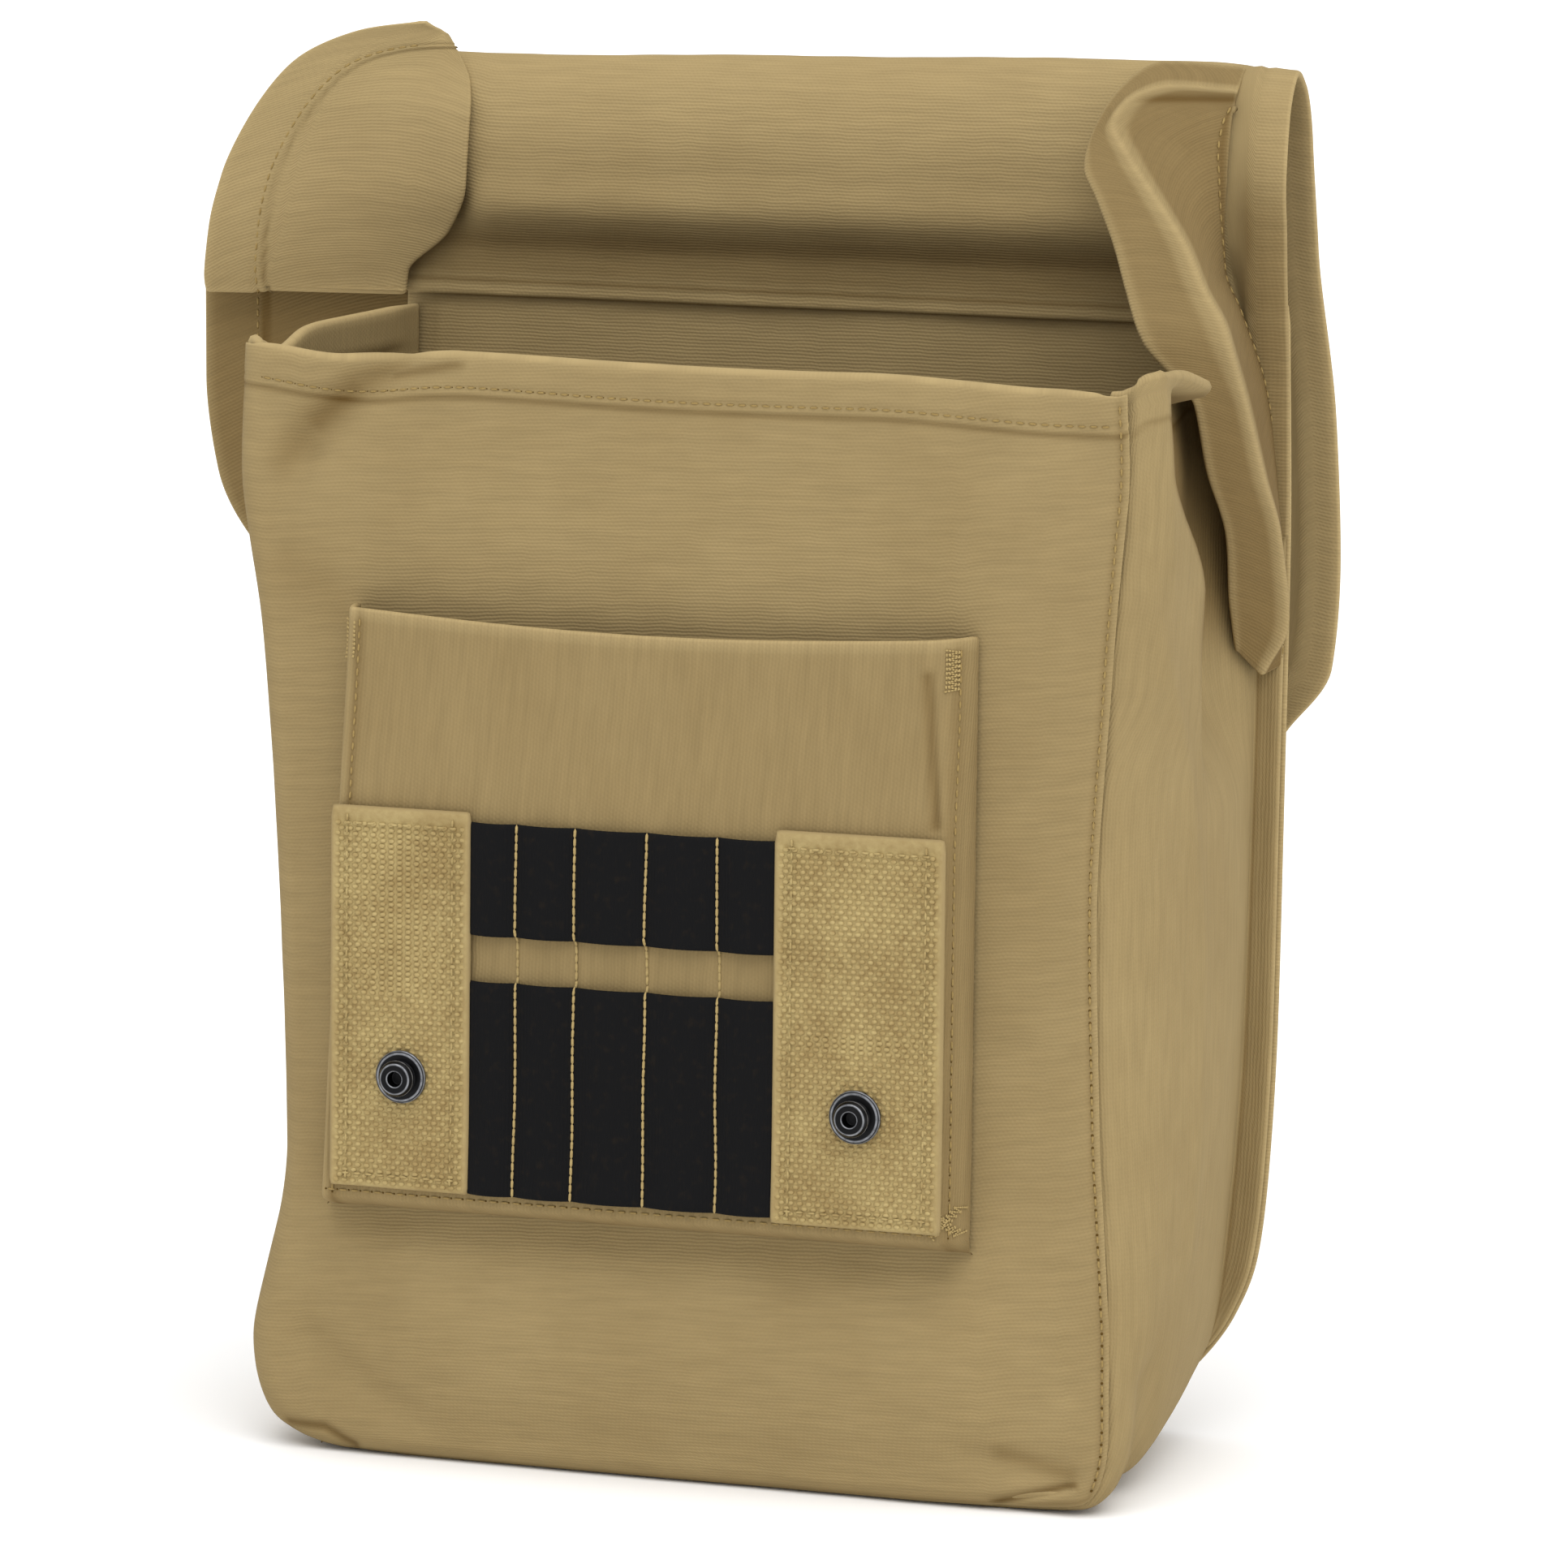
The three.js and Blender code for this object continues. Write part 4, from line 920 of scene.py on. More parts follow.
def cloth_wall(name, points, thickness, tone, material, weave=None):
    """Close a wall of cloth behind a grid of points, with a round rim, a weave map and a tone for wear,
    painted light and painted shade.
    """
    rim_layers = 4
    rim_wear_and_shade = 0.55
    rows, columns = points.shape[:2]
    facing = unit(np.cross(np.gradient(points, axis=1), np.gradient(points, axis=0)))
    thick = np.broadcast_to(thickness, (rows, columns))[..., None]
    inner = points - facing * thick
    ring_j = np.concatenate([
        np.zeros(columns, int), np.arange(1, rows),
        np.full(columns - 1, rows - 1), np.arange(rows - 2, 0, -1)])
    ring_i = np.concatenate([
        np.arange(columns), np.full(rows - 1, columns - 1),
        np.arange(columns - 2, -1, -1), np.zeros(rows - 2, int)])
    near_j, near_i = np.clip(ring_j, 1, rows - 2), np.clip(ring_i, 1, columns - 2)
    outer_ring, inner_ring = points[ring_j, ring_i], inner[ring_j, ring_i]
    half = (outer_ring - inner_ring) / 2
    outwards = outer_ring - points[near_j, near_i]
    ring_facing = facing[ring_j, ring_i]
    outwards = unit(outwards - ring_facing * (outwards * ring_facing).sum(-1, keepdims=True))
    reach = np.linalg.norm(half, axis=-1, keepdims=True)
    middle = (outer_ring + inner_ring) / 2
    angles = [math.pi * layer / rim_layers for layer in range(1, rim_layers)]
    layers = [middle + half * math.cos(angle) + outwards * reach * math.sin(angle) for angle in angles]
    vertices = np.concatenate([points.reshape(-1, 3), inner.reshape(-1, 3), *layers])
    vertices[:, 2] = np.maximum(vertices[:, 2], 0)

    index = np.arange(rows * columns).reshape(rows, columns)
    quads = np.stack([index[:-1, :-1], index[:-1, 1:], index[1:, 1:], index[1:, :-1]], -1).reshape(-1, 4)
    ring = index[ring_j, ring_i]
    first_rim = 2 * rows * columns
    loops = [ring]
    loops += [first_rim + layer * len(ring) + np.arange(len(ring)) for layer in range(rim_layers - 1)]
    loops.append(ring + rows * columns)
    faces = [quads, quads[:, ::-1] + rows * columns]
    for upper, lower in zip(loops[:-1], loops[1:]):
        faces.append(np.stack([np.roll(upper, -1), upper, lower, np.roll(lower, -1)], -1))
    obj = new_object(name, vertices, np.concatenate(faces).tolist(), material)

    if weave is None:
        weave = np.stack([lengths_along(points, 1), lengths_along(points, 0)], -1)
    weave = weave * MM
    flat_weave = weave.reshape(-1, 2)
    weave_all = np.concatenate([flat_weave, flat_weave] + [weave[ring_j, ring_i]] * (rim_layers - 1))
    tone = np.broadcast_to(tone, (rows, columns))
    tone_all = np.concatenate(
        [tone.ravel(), tone.ravel()] + [tone[ring_j, ring_i] + rim_wear_and_shade] * (rim_layers - 1))
    mesh = obj.data
    corners = np.empty(len(mesh.loops), int)
    mesh.loops.foreach_get("vertex_index", corners)
    mesh.uv_layers.new(name="weave").data.foreach_set("uv", weave_all[corners].ravel())
    mesh.attributes.new("tone", "FLOAT", "POINT").data.foreach_set("value", tone_all)
    return obj


def sew(name, node, slot, points, thickness, tone, weave=None):
    """Make a sheet of cloth in place of its node; its flat lengths are worked out but not kept."""
    obj = cloth_wall(name, points, thickness, tone, material_named(FINISHES[slot]), weave)
    across, along = lengths_along(points, 1), lengths_along(points, 0)
    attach(obj, BODY)
    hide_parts(node)


def turned_piece(node, profile, place, facing, material):
    """Turn a rounded profile about an axis out of the front (-1) or of the back (1), with painted highlights
    on the rims.
    """
    rounded, rim_highlight = [profile[0]], [0.0]
    for before, corner, after in zip(profile, profile[1:], profile[2:]):
        corner = np.array(corner, float)
        cut = []
        for other in (before, after):
            way = np.array(other, float) - corner
            cut.append(corner + way * min(0.5, CORNER_RADIUS / np.linalg.norm(way)))
        turn = np.cross(corner - before, after - corner)
        for t in (0, 1 / 3, 2 / 3, 1):
            rounded.append(bend(cut[0], corner, cut[1], t))
            # Convex rims that face out get the painted highlight
            rim_highlight.append(float(turn > 0 and corner[1] > 0 and 0 < t < 1))
    rounded.append(profile[-1])
    angles = np.arange(ROUND_SIDES) * 2 * math.pi / ROUND_SIDES
    points = [(place[0], place[1] + facing * rounded[0][1], place[2])]
    for radius, height in rounded[1:-1]:
        for angle in angles:
            x = place[0] - facing * radius * math.cos(angle)
            points.append((x, place[1] + facing * height, place[2] + radius * math.sin(angle)))
    points.append((place[0], place[1] + facing * rounded[-1][1], place[2]))
    rings = len(rounded) - 2
    last = len(points) - 1
    faces = []
    for k in range(ROUND_SIDES):
        after = (k + 1) % ROUND_SIDES
        faces.append((0, 1 + k, 1 + after))
        for ring in range(rings - 1):
            low = 1 + ring * ROUND_SIDES
            faces.append((low + k, low + ROUND_SIDES + k, low + ROUND_SIDES + after, low + after))
        top = 1 + (rings - 1) * ROUND_SIDES
        faces.append((top + k, last, top + after))
    obj = new_object(node + "_turned", points, faces, material)
    tone = [0.0, *np.repeat(rim_highlight[1:], ROUND_SIDES), 0.0]
    obj.data.attributes.new("tone", "FLOAT", "POINT").data.foreach_set("value", tone)
    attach(obj, BODY)
    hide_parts(node)


# Nodes

def add(tree, kind, inputs=None, **settings):
    """Add a node with its settings, and fill its inputs with values or links."""
    node = tree.nodes.new(kind)
    for name, value in settings.items():
        setattr(node, name, value)
    for key, value in (inputs or {}).items():
        if isinstance(value, bpy.types.NodeSocket):
            tree.links.new(value, node.inputs[key])
        else:
            node.inputs[key].default_value = value
    return node


def stitch_tree():
    """Geometry Nodes that lay small rounded threads along paths, flat on the cloth."""
    name = "laid_threads"
    if name in bpy.data.node_groups:
        return bpy.data.node_groups[name]
    tree = bpy.data.node_groups.new(name, "GeometryNodeTree")
    face = tree.interface
    face.new_socket("Geometry", in_out="INPUT", socket_type="NodeSocketGeometry")
    for label in ("Pitch", "Length", "Width", "Height", "Turn"):
        face.new_socket(label, in_out="INPUT", socket_type="NodeSocketFloat")
    face.new_socket("Sides", in_out="INPUT", socket_type="NodeSocketInt")
    face.new_socket("Material", in_out="INPUT", socket_type="NodeSocketMaterial")
    face.new_socket("Geometry", in_out="OUTPUT", socket_type="NodeSocketGeometry")
    given = add(tree, "NodeGroupInput").outputs
    curve = add(tree, "GeometryNodeMeshToCurve", {"Mesh": given["Geometry"]})
    spaced = add(tree, "GeometryNodeResampleCurve", {
        "Curve": curve.outputs[0], "Length": given["Pitch"]}, mode="LENGTH")
    tangent = add(tree, "GeometryNodeInputTangent")
    along = add(tree, "FunctionNodeAlignRotationToVector", {"Vector": tangent.outputs[0]}, axis="X")
    normal = add(tree, "GeometryNodeInputNamedAttribute", {"Name": "face"}, data_type="FLOAT_VECTOR")
    flat = add(tree, "FunctionNodeAlignRotationToVector", {
        "Rotation": along.outputs[0], "Vector": normal.outputs[0]}, axis="Z", pivot_axis="X")
    back = add(tree, "ShaderNodeMath", {0: given["Turn"], 1: -1.0}, operation="MULTIPLY")
    least = add(tree, "ShaderNodeCombineXYZ", {"Z": back.outputs[0]})
    most = add(tree, "ShaderNodeCombineXYZ", {"Z": given["Turn"]})
    chance = add(tree, "FunctionNodeRandomValue", {
        0: least.outputs[0], 1: most.outputs[0], "Seed": 7}, data_type="FLOAT_VECTOR")
    euler = add(tree, "FunctionNodeEulerToRotation", {0: chance.outputs[0]})
    turned = add(tree, "FunctionNodeRotateRotation", {
        "Rotation": flat.outputs[0], "Rotate By": euler.outputs[0]}, rotation_space="LOCAL")
    lozenge = add(tree, "GeometryNodeMeshUVSphere", {"Segments": given["Sides"], "Rings": 4, "Radius": 0.5})
    shape = add(tree, "ShaderNodeCombineXYZ", {
        "X": given["Length"], "Y": given["Width"], "Z": given["Height"]})
    shaped = add(tree, "GeometryNodeTransform", {"Geometry": lozenge.outputs[0], "Scale": shape.outputs[0]})
    laid = add(tree, "GeometryNodeInstanceOnPoints", {
        "Points": spaced.outputs[0], "Instance": shaped.outputs[0], "Rotation": turned.outputs[0]})
    real = add(tree, "GeometryNodeRealizeInstances", {"Geometry": laid.outputs[0]})
    smooth = add(tree, "GeometryNodeSetShadeSmooth", {"Geometry": real.outputs[0]})
    finished = add(tree, "GeometryNodeSetMaterial", {
        "Geometry": smooth.outputs[0], "Material": given["Material"]})
    add(tree, "NodeGroupOutput", {"Geometry": finished.outputs[0]})
    return tree


def lay_threads(name, paths, material, pitch, length, width, height, turn=0.05, sides=6):
    """Lay threads along paths of points and facings in millimetres, as one plain mesh."""
    points, edges, faces, count = [], [], [], 0
    for path, facing in paths:
        points.append(path * MM)
        faces.append(facing)
        edges += [(count + k, count + k + 1) for k in range(len(path) - 1)]
        count += len(path)
    guide_mesh = bpy.data.meshes.new(name + "_guide")
    guide_mesh.from_pydata(np.concatenate(points).tolist(), edges, [])
    guide_mesh.attributes.new("face", "FLOAT_VECTOR", "POINT").data.foreach_set(
        "vector", np.concatenate(faces).ravel())
    guide = bpy.data.objects.new(name + "_guide", guide_mesh)
    bpy.context.scene.collection.objects.link(guide)
    tree = stitch_tree()
    modifier = guide.modifiers.new("threads", "NODES")
    modifier.node_group = tree
    values = {
        "Pitch": pitch * MM, "Length": length * MM, "Width": width * MM, "Height": height * MM,
        "Turn": turn, "Sides": sides, "Material": material}
    for item in tree.interface.items_tree:
        if item.item_type == "SOCKET" and item.in_out == "INPUT" and item.name in values:
            modifier[item.identifier] = values[item.name]
    depsgraph = bpy.context.evaluated_depsgraph_get()
    mesh = bpy.data.meshes.new_from_object(guide.evaluated_get(depsgraph))
    mesh.name = name
    bpy.data.objects.remove(guide)
    bpy.data.meshes.remove(guide_mesh)
    obj = bpy.data.objects.new(name, mesh)
    bpy.context.scene.collection.objects.link(obj)
    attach(obj, BODY)
    return obj


def path_on(surface, u, v, lift=0.0):
    """Path on a surface through u, v, lifted off it, with its facings."""
    u, v = (np.array(values, float) for values in np.broadcast_arrays(u, v))
    facing = facing_of(surface, u, v)
    return surface(u, v) + facing * lift, facing


def path_at(depth, x, z, lift=0.0):
    """Path on a front that is given as a depth at x, z, lifted off it, with its facings."""
    x, z = (np.array(values, float) for values in np.broadcast_arrays(x, z))
    reach = 0.2
    slope_x = (depth(x + reach, z) - depth(x - reach, z)) / (2 * reach)
    slope_z = (depth(x, z + reach) - depth(x, z - reach)) / (2 * reach)
    facing = unit(stack(slope_x, -1.0, slope_z))
    return stack(x, depth(x, z), z) + facing * lift, facing


def seam_inside(surface, rows, heights, ends, inset, lift):
    """Path on a hanging sheet, inside its right side, its bottom and its left side, by its falling rows."""
    level, start, end = (smooth_at(column, rows) for column in (heights, *ends))
    left, right = np.minimum(start, end), np.maximum(start, end)
    bottom = np.linspace(right[-1], left[-1], 120)[1:-1]
    x = np.concatenate([right, bottom, left[::-1]])
    z = np.concatenate([level, np.full(len(bottom), level[-1]), level[::-1]])
    run_x, run_z = np.gradient(x), np.gradient(z)
    length = np.hypot(run_x, run_z)
    x, z = x + run_z / length * inset, z - run_x / length * inset
    row = np.interp(z, level[::-1], rows[::-1])
    start, end = (smooth_at(column, row) for column in ends)
    return path_on(surface, (x - start) / (end - start), row / (len(heights) - 1), lift)


def run_of(row):
    """Places along a row of stitches, from its start to its end."""
    return np.linspace(row.start, row.end, row.points)


def sewn_rows(name, paths, hole=0.9):
    """Sew rows of stitches with dark discs between them, which paint the shade in the needle holes."""
    cut = sizes()
    thread = material_named(cotton_thread)
    lay_threads(name, paths, thread, cut.pitch, cut.stitch, cut.thread, cut.thread * 0.8)
    holes = []
    for points, facing in paths:
        way = unit(points[1] - points[0])
        start = points[0] - way * cut.pitch / 2
        sunk = np.concatenate([[start], points]) - facing[0] * HOLE_SINK
        holes.append((sunk, np.concatenate([facing[:1], facing])))
    lay_threads(
        name + "_holes", holes, material_named(needle_hole),
        cut.pitch, cut.thread * hole, cut.thread * hole, cut.thread * 0.6)


# Materials

def material_named(make):
    """The material that a function makes, made once."""
    name = make.__name__
    if name not in bpy.data.materials:
        make(name)
    return bpy.data.materials[name]


def start_material(name, **values):
    """New material with constant values on its shader's sockets; gives its tree and its shader."""
    material = bpy.data.materials.new(name)
    material.use_nodes = True
    shader = material.node_tree.nodes["Principled BSDF"]
    for socket, value in values.items():
        shader.inputs[socket.replace("_", " ")].default_value = value
    return material.node_tree, shader


def rgba(name):
    return (*getattr(bpy.context.scene.case_colours, name), 1.0)


def per_metre(length):
    """Scale of a pattern from its real size in millimetres."""
    return 1 / (length * MM)


def wave(tree, value, pitch):
    """Sine of a length in metres with a pitch in millimetres."""
    turns = add(tree, "ShaderNodeMath", {0: value, 1: 2 * math.pi * per_metre(pitch)}, operation="MULTIPLY")
    return add(tree, "ShaderNodeMath", {0: turns.outputs[0]}, operation="SINE").outputs[0]


def cotton_canvas(name):
    # Heavy cotton canvas, plain woven: matt and dry, with faint ribs, long slubs and uneven dye,
    # paler along edges from wear and with painted light on lit tops and ridges, and browner where shade is
    # painted in seams, creases and recesses.
    rib_pitch, yarn_pitch, slub_length, slub_width = 0.85, 1.1, 16.6667, 1.78571
    bend_size, bend_reach, fuzz_size, cloud_size = 5.88235, 0.9, 0.666667, 31.25
    slub_scale = (per_metre(slub_length), per_metre(slub_width), 1.0)
    sway = (bend_reach * MM, bend_reach * MM, 0.0)
    tree, shader = start_material(name, Roughness=0.95, Specular_IOR_Level=0.12)
    weave = add(tree, "ShaderNodeUVMap", uv_map="weave").outputs[0]
    wander = add(tree, "ShaderNodeTexNoise", {
        "Vector": weave, "Scale": per_metre(bend_size), "Detail": 2.0})
    shift = add(tree, "ShaderNodeVectorMath", {
        0: wander.outputs["Color"], 1: sway, 2: weave}, operation="MULTIPLY_ADD")
    place = add(tree, "ShaderNodeSeparateXYZ", {0: shift.outputs[0]})
    rib = wave(tree, place.outputs[1], rib_pitch)
    yarn = wave(tree, place.outputs[0], yarn_pitch)
    lift = wave(tree, place.outputs[1], 2 * rib_pitch)
    cross = add(tree, "ShaderNodeMath", {0: yarn, 1: lift}, operation="MULTIPLY").outputs[0]
    woven = add(tree, "ShaderNodeMath", {0: cross, 1: 0.55, 2: rib}, operation="MULTIPLY_ADD").outputs[0]
    slub_place = add(tree, "ShaderNodeMapping", {"Vector": weave, "Scale": slub_scale})
    slub = add(tree, "ShaderNodeTexNoise", {"Vector": slub_place.outputs[0], "Scale": 1.0, "Detail": 3.0})
    fuzz = add(tree, "ShaderNodeTexNoise", {"Vector": weave, "Scale": per_metre(fuzz_size), "Detail": 2.0})
    cloud_place = add(tree, "ShaderNodeTexCoord").outputs["Object"]
    cloud = add(tree, "ShaderNodeTexNoise", {
        "Vector": cloud_place, "Scale": per_metre(cloud_size), "Detail": 5.0, "Roughness": 0.62})
    # Tone: positive mixes towards the paler khaki, for wear and painted light; negative mixes towards the
    # browner khaki, for painted shade
    tone = add(tree, "ShaderNodeAttribute", attribute_name="tone").outputs["Fac"]
    worn = add(tree, "ShaderNodeMath", {0: tone, 1: 0.75}, operation="MULTIPLY", use_clamp=True)
    painted_shade_and_seam_lines = add(tree, "ShaderNodeMath", {0: tone, 1: -0.8}, operation="MULTIPLY", use_clamp=True)
    dyed = add(tree, "ShaderNodeMapRange", {0: cloud.outputs["Fac"], 1: 0.3, 2: 0.7, 3: 0.16, 4: 0.0})
    base = add(tree, "ShaderNodeMix", {
        0: dyed.outputs[0], 6: rgba("canvas"), 7: rgba("shade")}, data_type="RGBA")
    rubbed_and_lit = add(tree, "ShaderNodeMix", {
        0: worn.outputs[0], 6: base.outputs[2], 7: rgba("worn")}, data_type="RGBA")
    deep = add(tree, "ShaderNodeMix", {
        0: painted_shade_and_seam_lines.outputs[0], 6: rubbed_and_lit.outputs[2], 7: rgba("shade")}, data_type="RGBA")
    slubbed = add(tree, "ShaderNodeMapRange", {0: slub.outputs["Fac"], 1: 0.3, 2: 0.7, 3: 0.945, 4: 1.055})
    valley = add(tree, "ShaderNodeMapRange", {0: woven, 1: -1.3, 2: 1.3, 3: 0.96, 4: 1.03})
    grain = add(tree, "ShaderNodeMath", {0: slubbed.outputs[0], 1: valley.outputs[0]}, operation="MULTIPLY")
    dry = add(tree, "ShaderNodeVectorMath", {
        0: deep.outputs[2], "Scale": grain.outputs[0]}, operation="SCALE")
    tree.links.new(dry.outputs[0], shader.inputs["Base Color"])
    height = add(tree, "ShaderNodeMath", {
        0: slub.outputs["Fac"], 1: 1.6, 2: woven}, operation="MULTIPLY_ADD")
    rough = add(tree, "ShaderNodeMath", {
        0: fuzz.outputs["Fac"], 1: 0.9, 2: height.outputs[0]}, operation="MULTIPLY_ADD")
    bump = add(tree, "ShaderNodeBump", {"Strength": 0.4, "Distance": 0.09 * MM, "Height": rough.outputs[0]})
    tree.links.new(bump.outputs[0], shader.inputs["Normal"])


def cotton_webbing(name):
    # Thick cotton webbing in natural straw: coarse bare yarns, matt, each a little different in tone,
    # with painted shade, towards the canvas khaki, along the selvages, the folded top and the rims.
    yarn_size, cloud_size, fuzz_size = 1.6129, 16.6667, 0.384615
    tree, shader = start_material(name, Roughness=0.95, Specular_IOR_Level=0.12)
    place = add(tree, "ShaderNodeTexCoord").outputs["Object"]
    yarn = add(tree, "ShaderNodeTexNoise", {"Vector": place, "Scale": per_metre(yarn_size), "Detail": 2.0})
    cloud = add(tree, "ShaderNodeTexNoise", {"Vector": place, "Scale": per_metre(cloud_size), "Detail": 3.0})
    both = add(tree, "ShaderNodeMath", {0: yarn.outputs["Fac"], 1: cloud.outputs["Fac"]}, operation="ADD")
    share = add(tree, "ShaderNodeMapRange", {0: both.outputs[0], 1: 0.75, 2: 1.25, 3: 0.6, 4: 0.0})
    tint = add(tree, "ShaderNodeMix", {
        0: share.outputs[0], 6: rgba("webbing"), 7: rgba("webbing_shade")}, data_type="RGBA")
    tone = add(tree, "ShaderNodeAttribute", attribute_name="tone").outputs["Fac"]
    selvage_shade = add(tree, "ShaderNodeMix", {0: tone, 6: tint.outputs[2], 7: rgba("canvas")}, data_type="RGBA")
    tree.links.new(selvage_shade.outputs[2], shader.inputs["Base Color"])
    fuzz = add(tree, "ShaderNodeTexNoise", {"Vector": place, "Scale": per_metre(fuzz_size), "Detail": 2.0})
    bump = add(tree, "ShaderNodeBump", {"Strength": 0.4, "Distance": 0.2 * MM, "Height": fuzz.outputs["Fac"]})
    tree.links.new(bump.outputs[0], shader.inputs["Normal"])


def woven_elastic(name):
    # Flat black knitted elastic: fine ribs across the band, dull, with a weak sheen of its rubber.
    # The ribs of about 0.6 mm are drawn at 0.9 mm, so that they show.
    rib_pitch, lint_size = 0.9, 2.38095
    tree, shader = start_material(name, Roughness=0.85, Specular_IOR_Level=0.12)
    weave = add(tree, "ShaderNodeUVMap", uv_map="weave").outputs[0]
    place = add(tree, "ShaderNodeSeparateXYZ", {0: weave})
    rib = wave(tree, place.outputs[0], rib_pitch)
    lint = add(tree, "ShaderNodeTexNoise", {"Vector": weave, "Scale": per_metre(lint_size), "Detail": 4.0})
    dust = add(tree, "ShaderNodeMapRange", {0: lint.outputs["Fac"], 1: 0.55, 2: 0.8, 3: 0.0, 4: 0.06})
    tint = add(tree, "ShaderNodeMix", {
        0: dust.outputs[0], 6: rgba("elastic"), 7: rgba("shade")}, data_type="RGBA")
    tree.links.new(tint.outputs[2], shader.inputs["Base Color"])
    height = add(tree, "ShaderNodeMath", {0: lint.outputs["Fac"], 1: 1.2, 2: rib}, operation="MULTIPLY_ADD")
    bump = add(tree, "ShaderNodeBump", {"Strength": 0.35, "Distance": 0.12 * MM, "Height": height.outputs[0]})
    tree.links.new(bump.outputs[0], shader.inputs["Normal"])


def black_lacquered_brass(name):
    # Pressed brass snaps in black lacquer: dark and glossy, with fine handling marks, and painted light grey
    # highlights on the rims.
    mark_size = 1.42857
    tree, shader = start_material(name, Metallic=0.6, Specular_IOR_Level=0.3)
    place = add(tree, "ShaderNodeTexCoord").outputs["Object"]
    marks = add(tree, "ShaderNodeTexNoise", {"Vector": place, "Scale": per_metre(mark_size), "Detail": 4.0})
    gloss = add(tree, "ShaderNodeMapRange", {0: marks.outputs["Fac"], 1: 0.3, 2: 0.7, 3: 0.24, 4: 0.46})
    # Painted highlight: the rims' tone, broken by the marks, mixes the black towards light grey
    tone = add(tree, "ShaderNodeAttribute", attribute_name="tone").outputs["Fac"]
    rubbed_and_lit = add(tree, "ShaderNodeMath", {0: tone, 1: marks.outputs["Fac"]}, operation="MULTIPLY")
    tint = add(tree, "ShaderNodeMix", {
        0: rubbed_and_lit.outputs[0], 6: rgba("metal"), 7: rgba("rubbed_metal")}, data_type="RGBA")
    tree.links.new(tint.outputs[2], shader.inputs["Base Color"])
    tree.links.new(gloss.outputs[0], shader.inputs["Roughness"])


def thread_of(name, tint):
    ply_size = 0.714286
    tree, shader = start_material(name, Roughness=0.8, Specular_IOR_Level=0.25)
    place = add(tree, "ShaderNodeTexCoord").outputs["Object"]
    ply = add(tree, "ShaderNodeTexNoise", {"Vector": place, "Scale": per_metre(ply_size), "Detail": 2.0})
    share = add(tree, "ShaderNodeMapRange", {0: ply.outputs["Fac"], 1: 0.3, 2: 0.7, 3: 0.3, 4: 0.0})
    twist = add(tree, "ShaderNodeMix", {
        0: share.outputs[0], 6: rgba(tint), 7: rgba("shade")}, data_type="RGBA")
    tree.links.new(twist.outputs[2], shader.inputs["Base Color"])


def cotton_thread(name):
    # Twisted cotton sewing thread, dyed with the canvas, matt, with a darker line between its plies.
    thread_of(name, "thread")


def pale_cotton_thread(name):
    # The same thread in tan, which stands out across the black elastic.
    thread_of(name, "pale_thread")


def needle_hole(name):
    # Painted shade in a needle hole, where the cloth is pulled in: brown.
    fibre_size = 1.11111
    tree, shader = start_material(name, Roughness=1.0, Specular_IOR_Level=0.0)
    place = add(tree, "ShaderNodeTexCoord").outputs["Object"]
    fibre = add(tree, "ShaderNodeTexNoise", {"Vector": place, "Scale": per_metre(fibre_size)})
    tint = add(tree, "ShaderNodeMix", {
        0: fibre.outputs["Fac"], 6: rgba("hole"), 7: rgba("shade")}, data_type="RGBA")
    tree.links.new(tint.outputs[2], shader.inputs["Base Color"])


def studio_floor(name):
    # Smooth white studio paper: matt, with a barely uneven tone.
    cloud_size = 666.667
    tree, shader = start_material(name, Roughness=0.9, Specular_IOR_Level=0.1)
    place = add(tree, "ShaderNodeTexCoord").outputs["Object"]
    cloud = add(tree, "ShaderNodeTexNoise", {"Vector": place, "Scale": per_metre(cloud_size)})
    tint = add(tree, "ShaderNodeMix", {
        0: cloud.outputs["Fac"], 6: rgba("floor"), 7: WHITE}, data_type="RGBA")
    tree.links.new(tint.outputs[2], shader.inputs["Base Color"])


FINISHES = {"canvas": cotton_canvas, "webbing": cotton_webbing, "elastic": woven_elastic}


# Operators

class CASE_OT_front_panel(bpy.types.Operator):
    """Sew the front panel with its mouth hem"""
    bl_idname = "case.front_panel"
    bl_label = "Front panel"

    def execute(self, context):
        cut = sizes()
        points = front_surface(*grid(*map(fine_ends, GRIDS["front_panel"])))
        x, z = points[..., 0], points[..., 2]
        below = mouth_height(x) - z
        past = below - cut.mouth_hem
        side = from_sides(points)
        edge = np.minimum(side, lengths_along(points, 0))
        thickness = mix(LAP.thin, cut.canvas, smoothstep(edge, LAP.under, LAP.under + LAP.fill))
        hem = smoothstep(past, HEM_SOFT, -HEM_SOFT) * smoothstep(side - LAP.under, *HEM_TAPER)
        thickness = mix(thickness, cut.hem, hem)
        # Paler hem, painted shade in its stitch groove, a rim paler from wear, a painted highlight and
        # painted shade along the lapped seam, and painted shade and highlights along the creases
        tone = broad_tone("mouth_hem", past) + line_tone("mouth_groove", past) + line_tone("mouth_rim", below)
        tone = tone + line_tone("front_seam", edge) + strongest(x, z, FRONT_SHADING_LINES)
        sew("front_canvas", "front_panel", "canvas", points, thickness, tone)
        return {"FINISHED"}


def gusset_relief(u, v):
    x, y, z = np.moveaxis(gusset_surface(u, v), -1, 0)
    fold = strongest(y, z, GUSSET_FOLDS) * (x > SIDE_X)
    soft = uneven("gusset", u * GUSSET_CLOTH.length, v * GUSSET_CLOTH.width)
    return plateau(v, *GUSSET_CLOTH.soft) * (soft + fold)


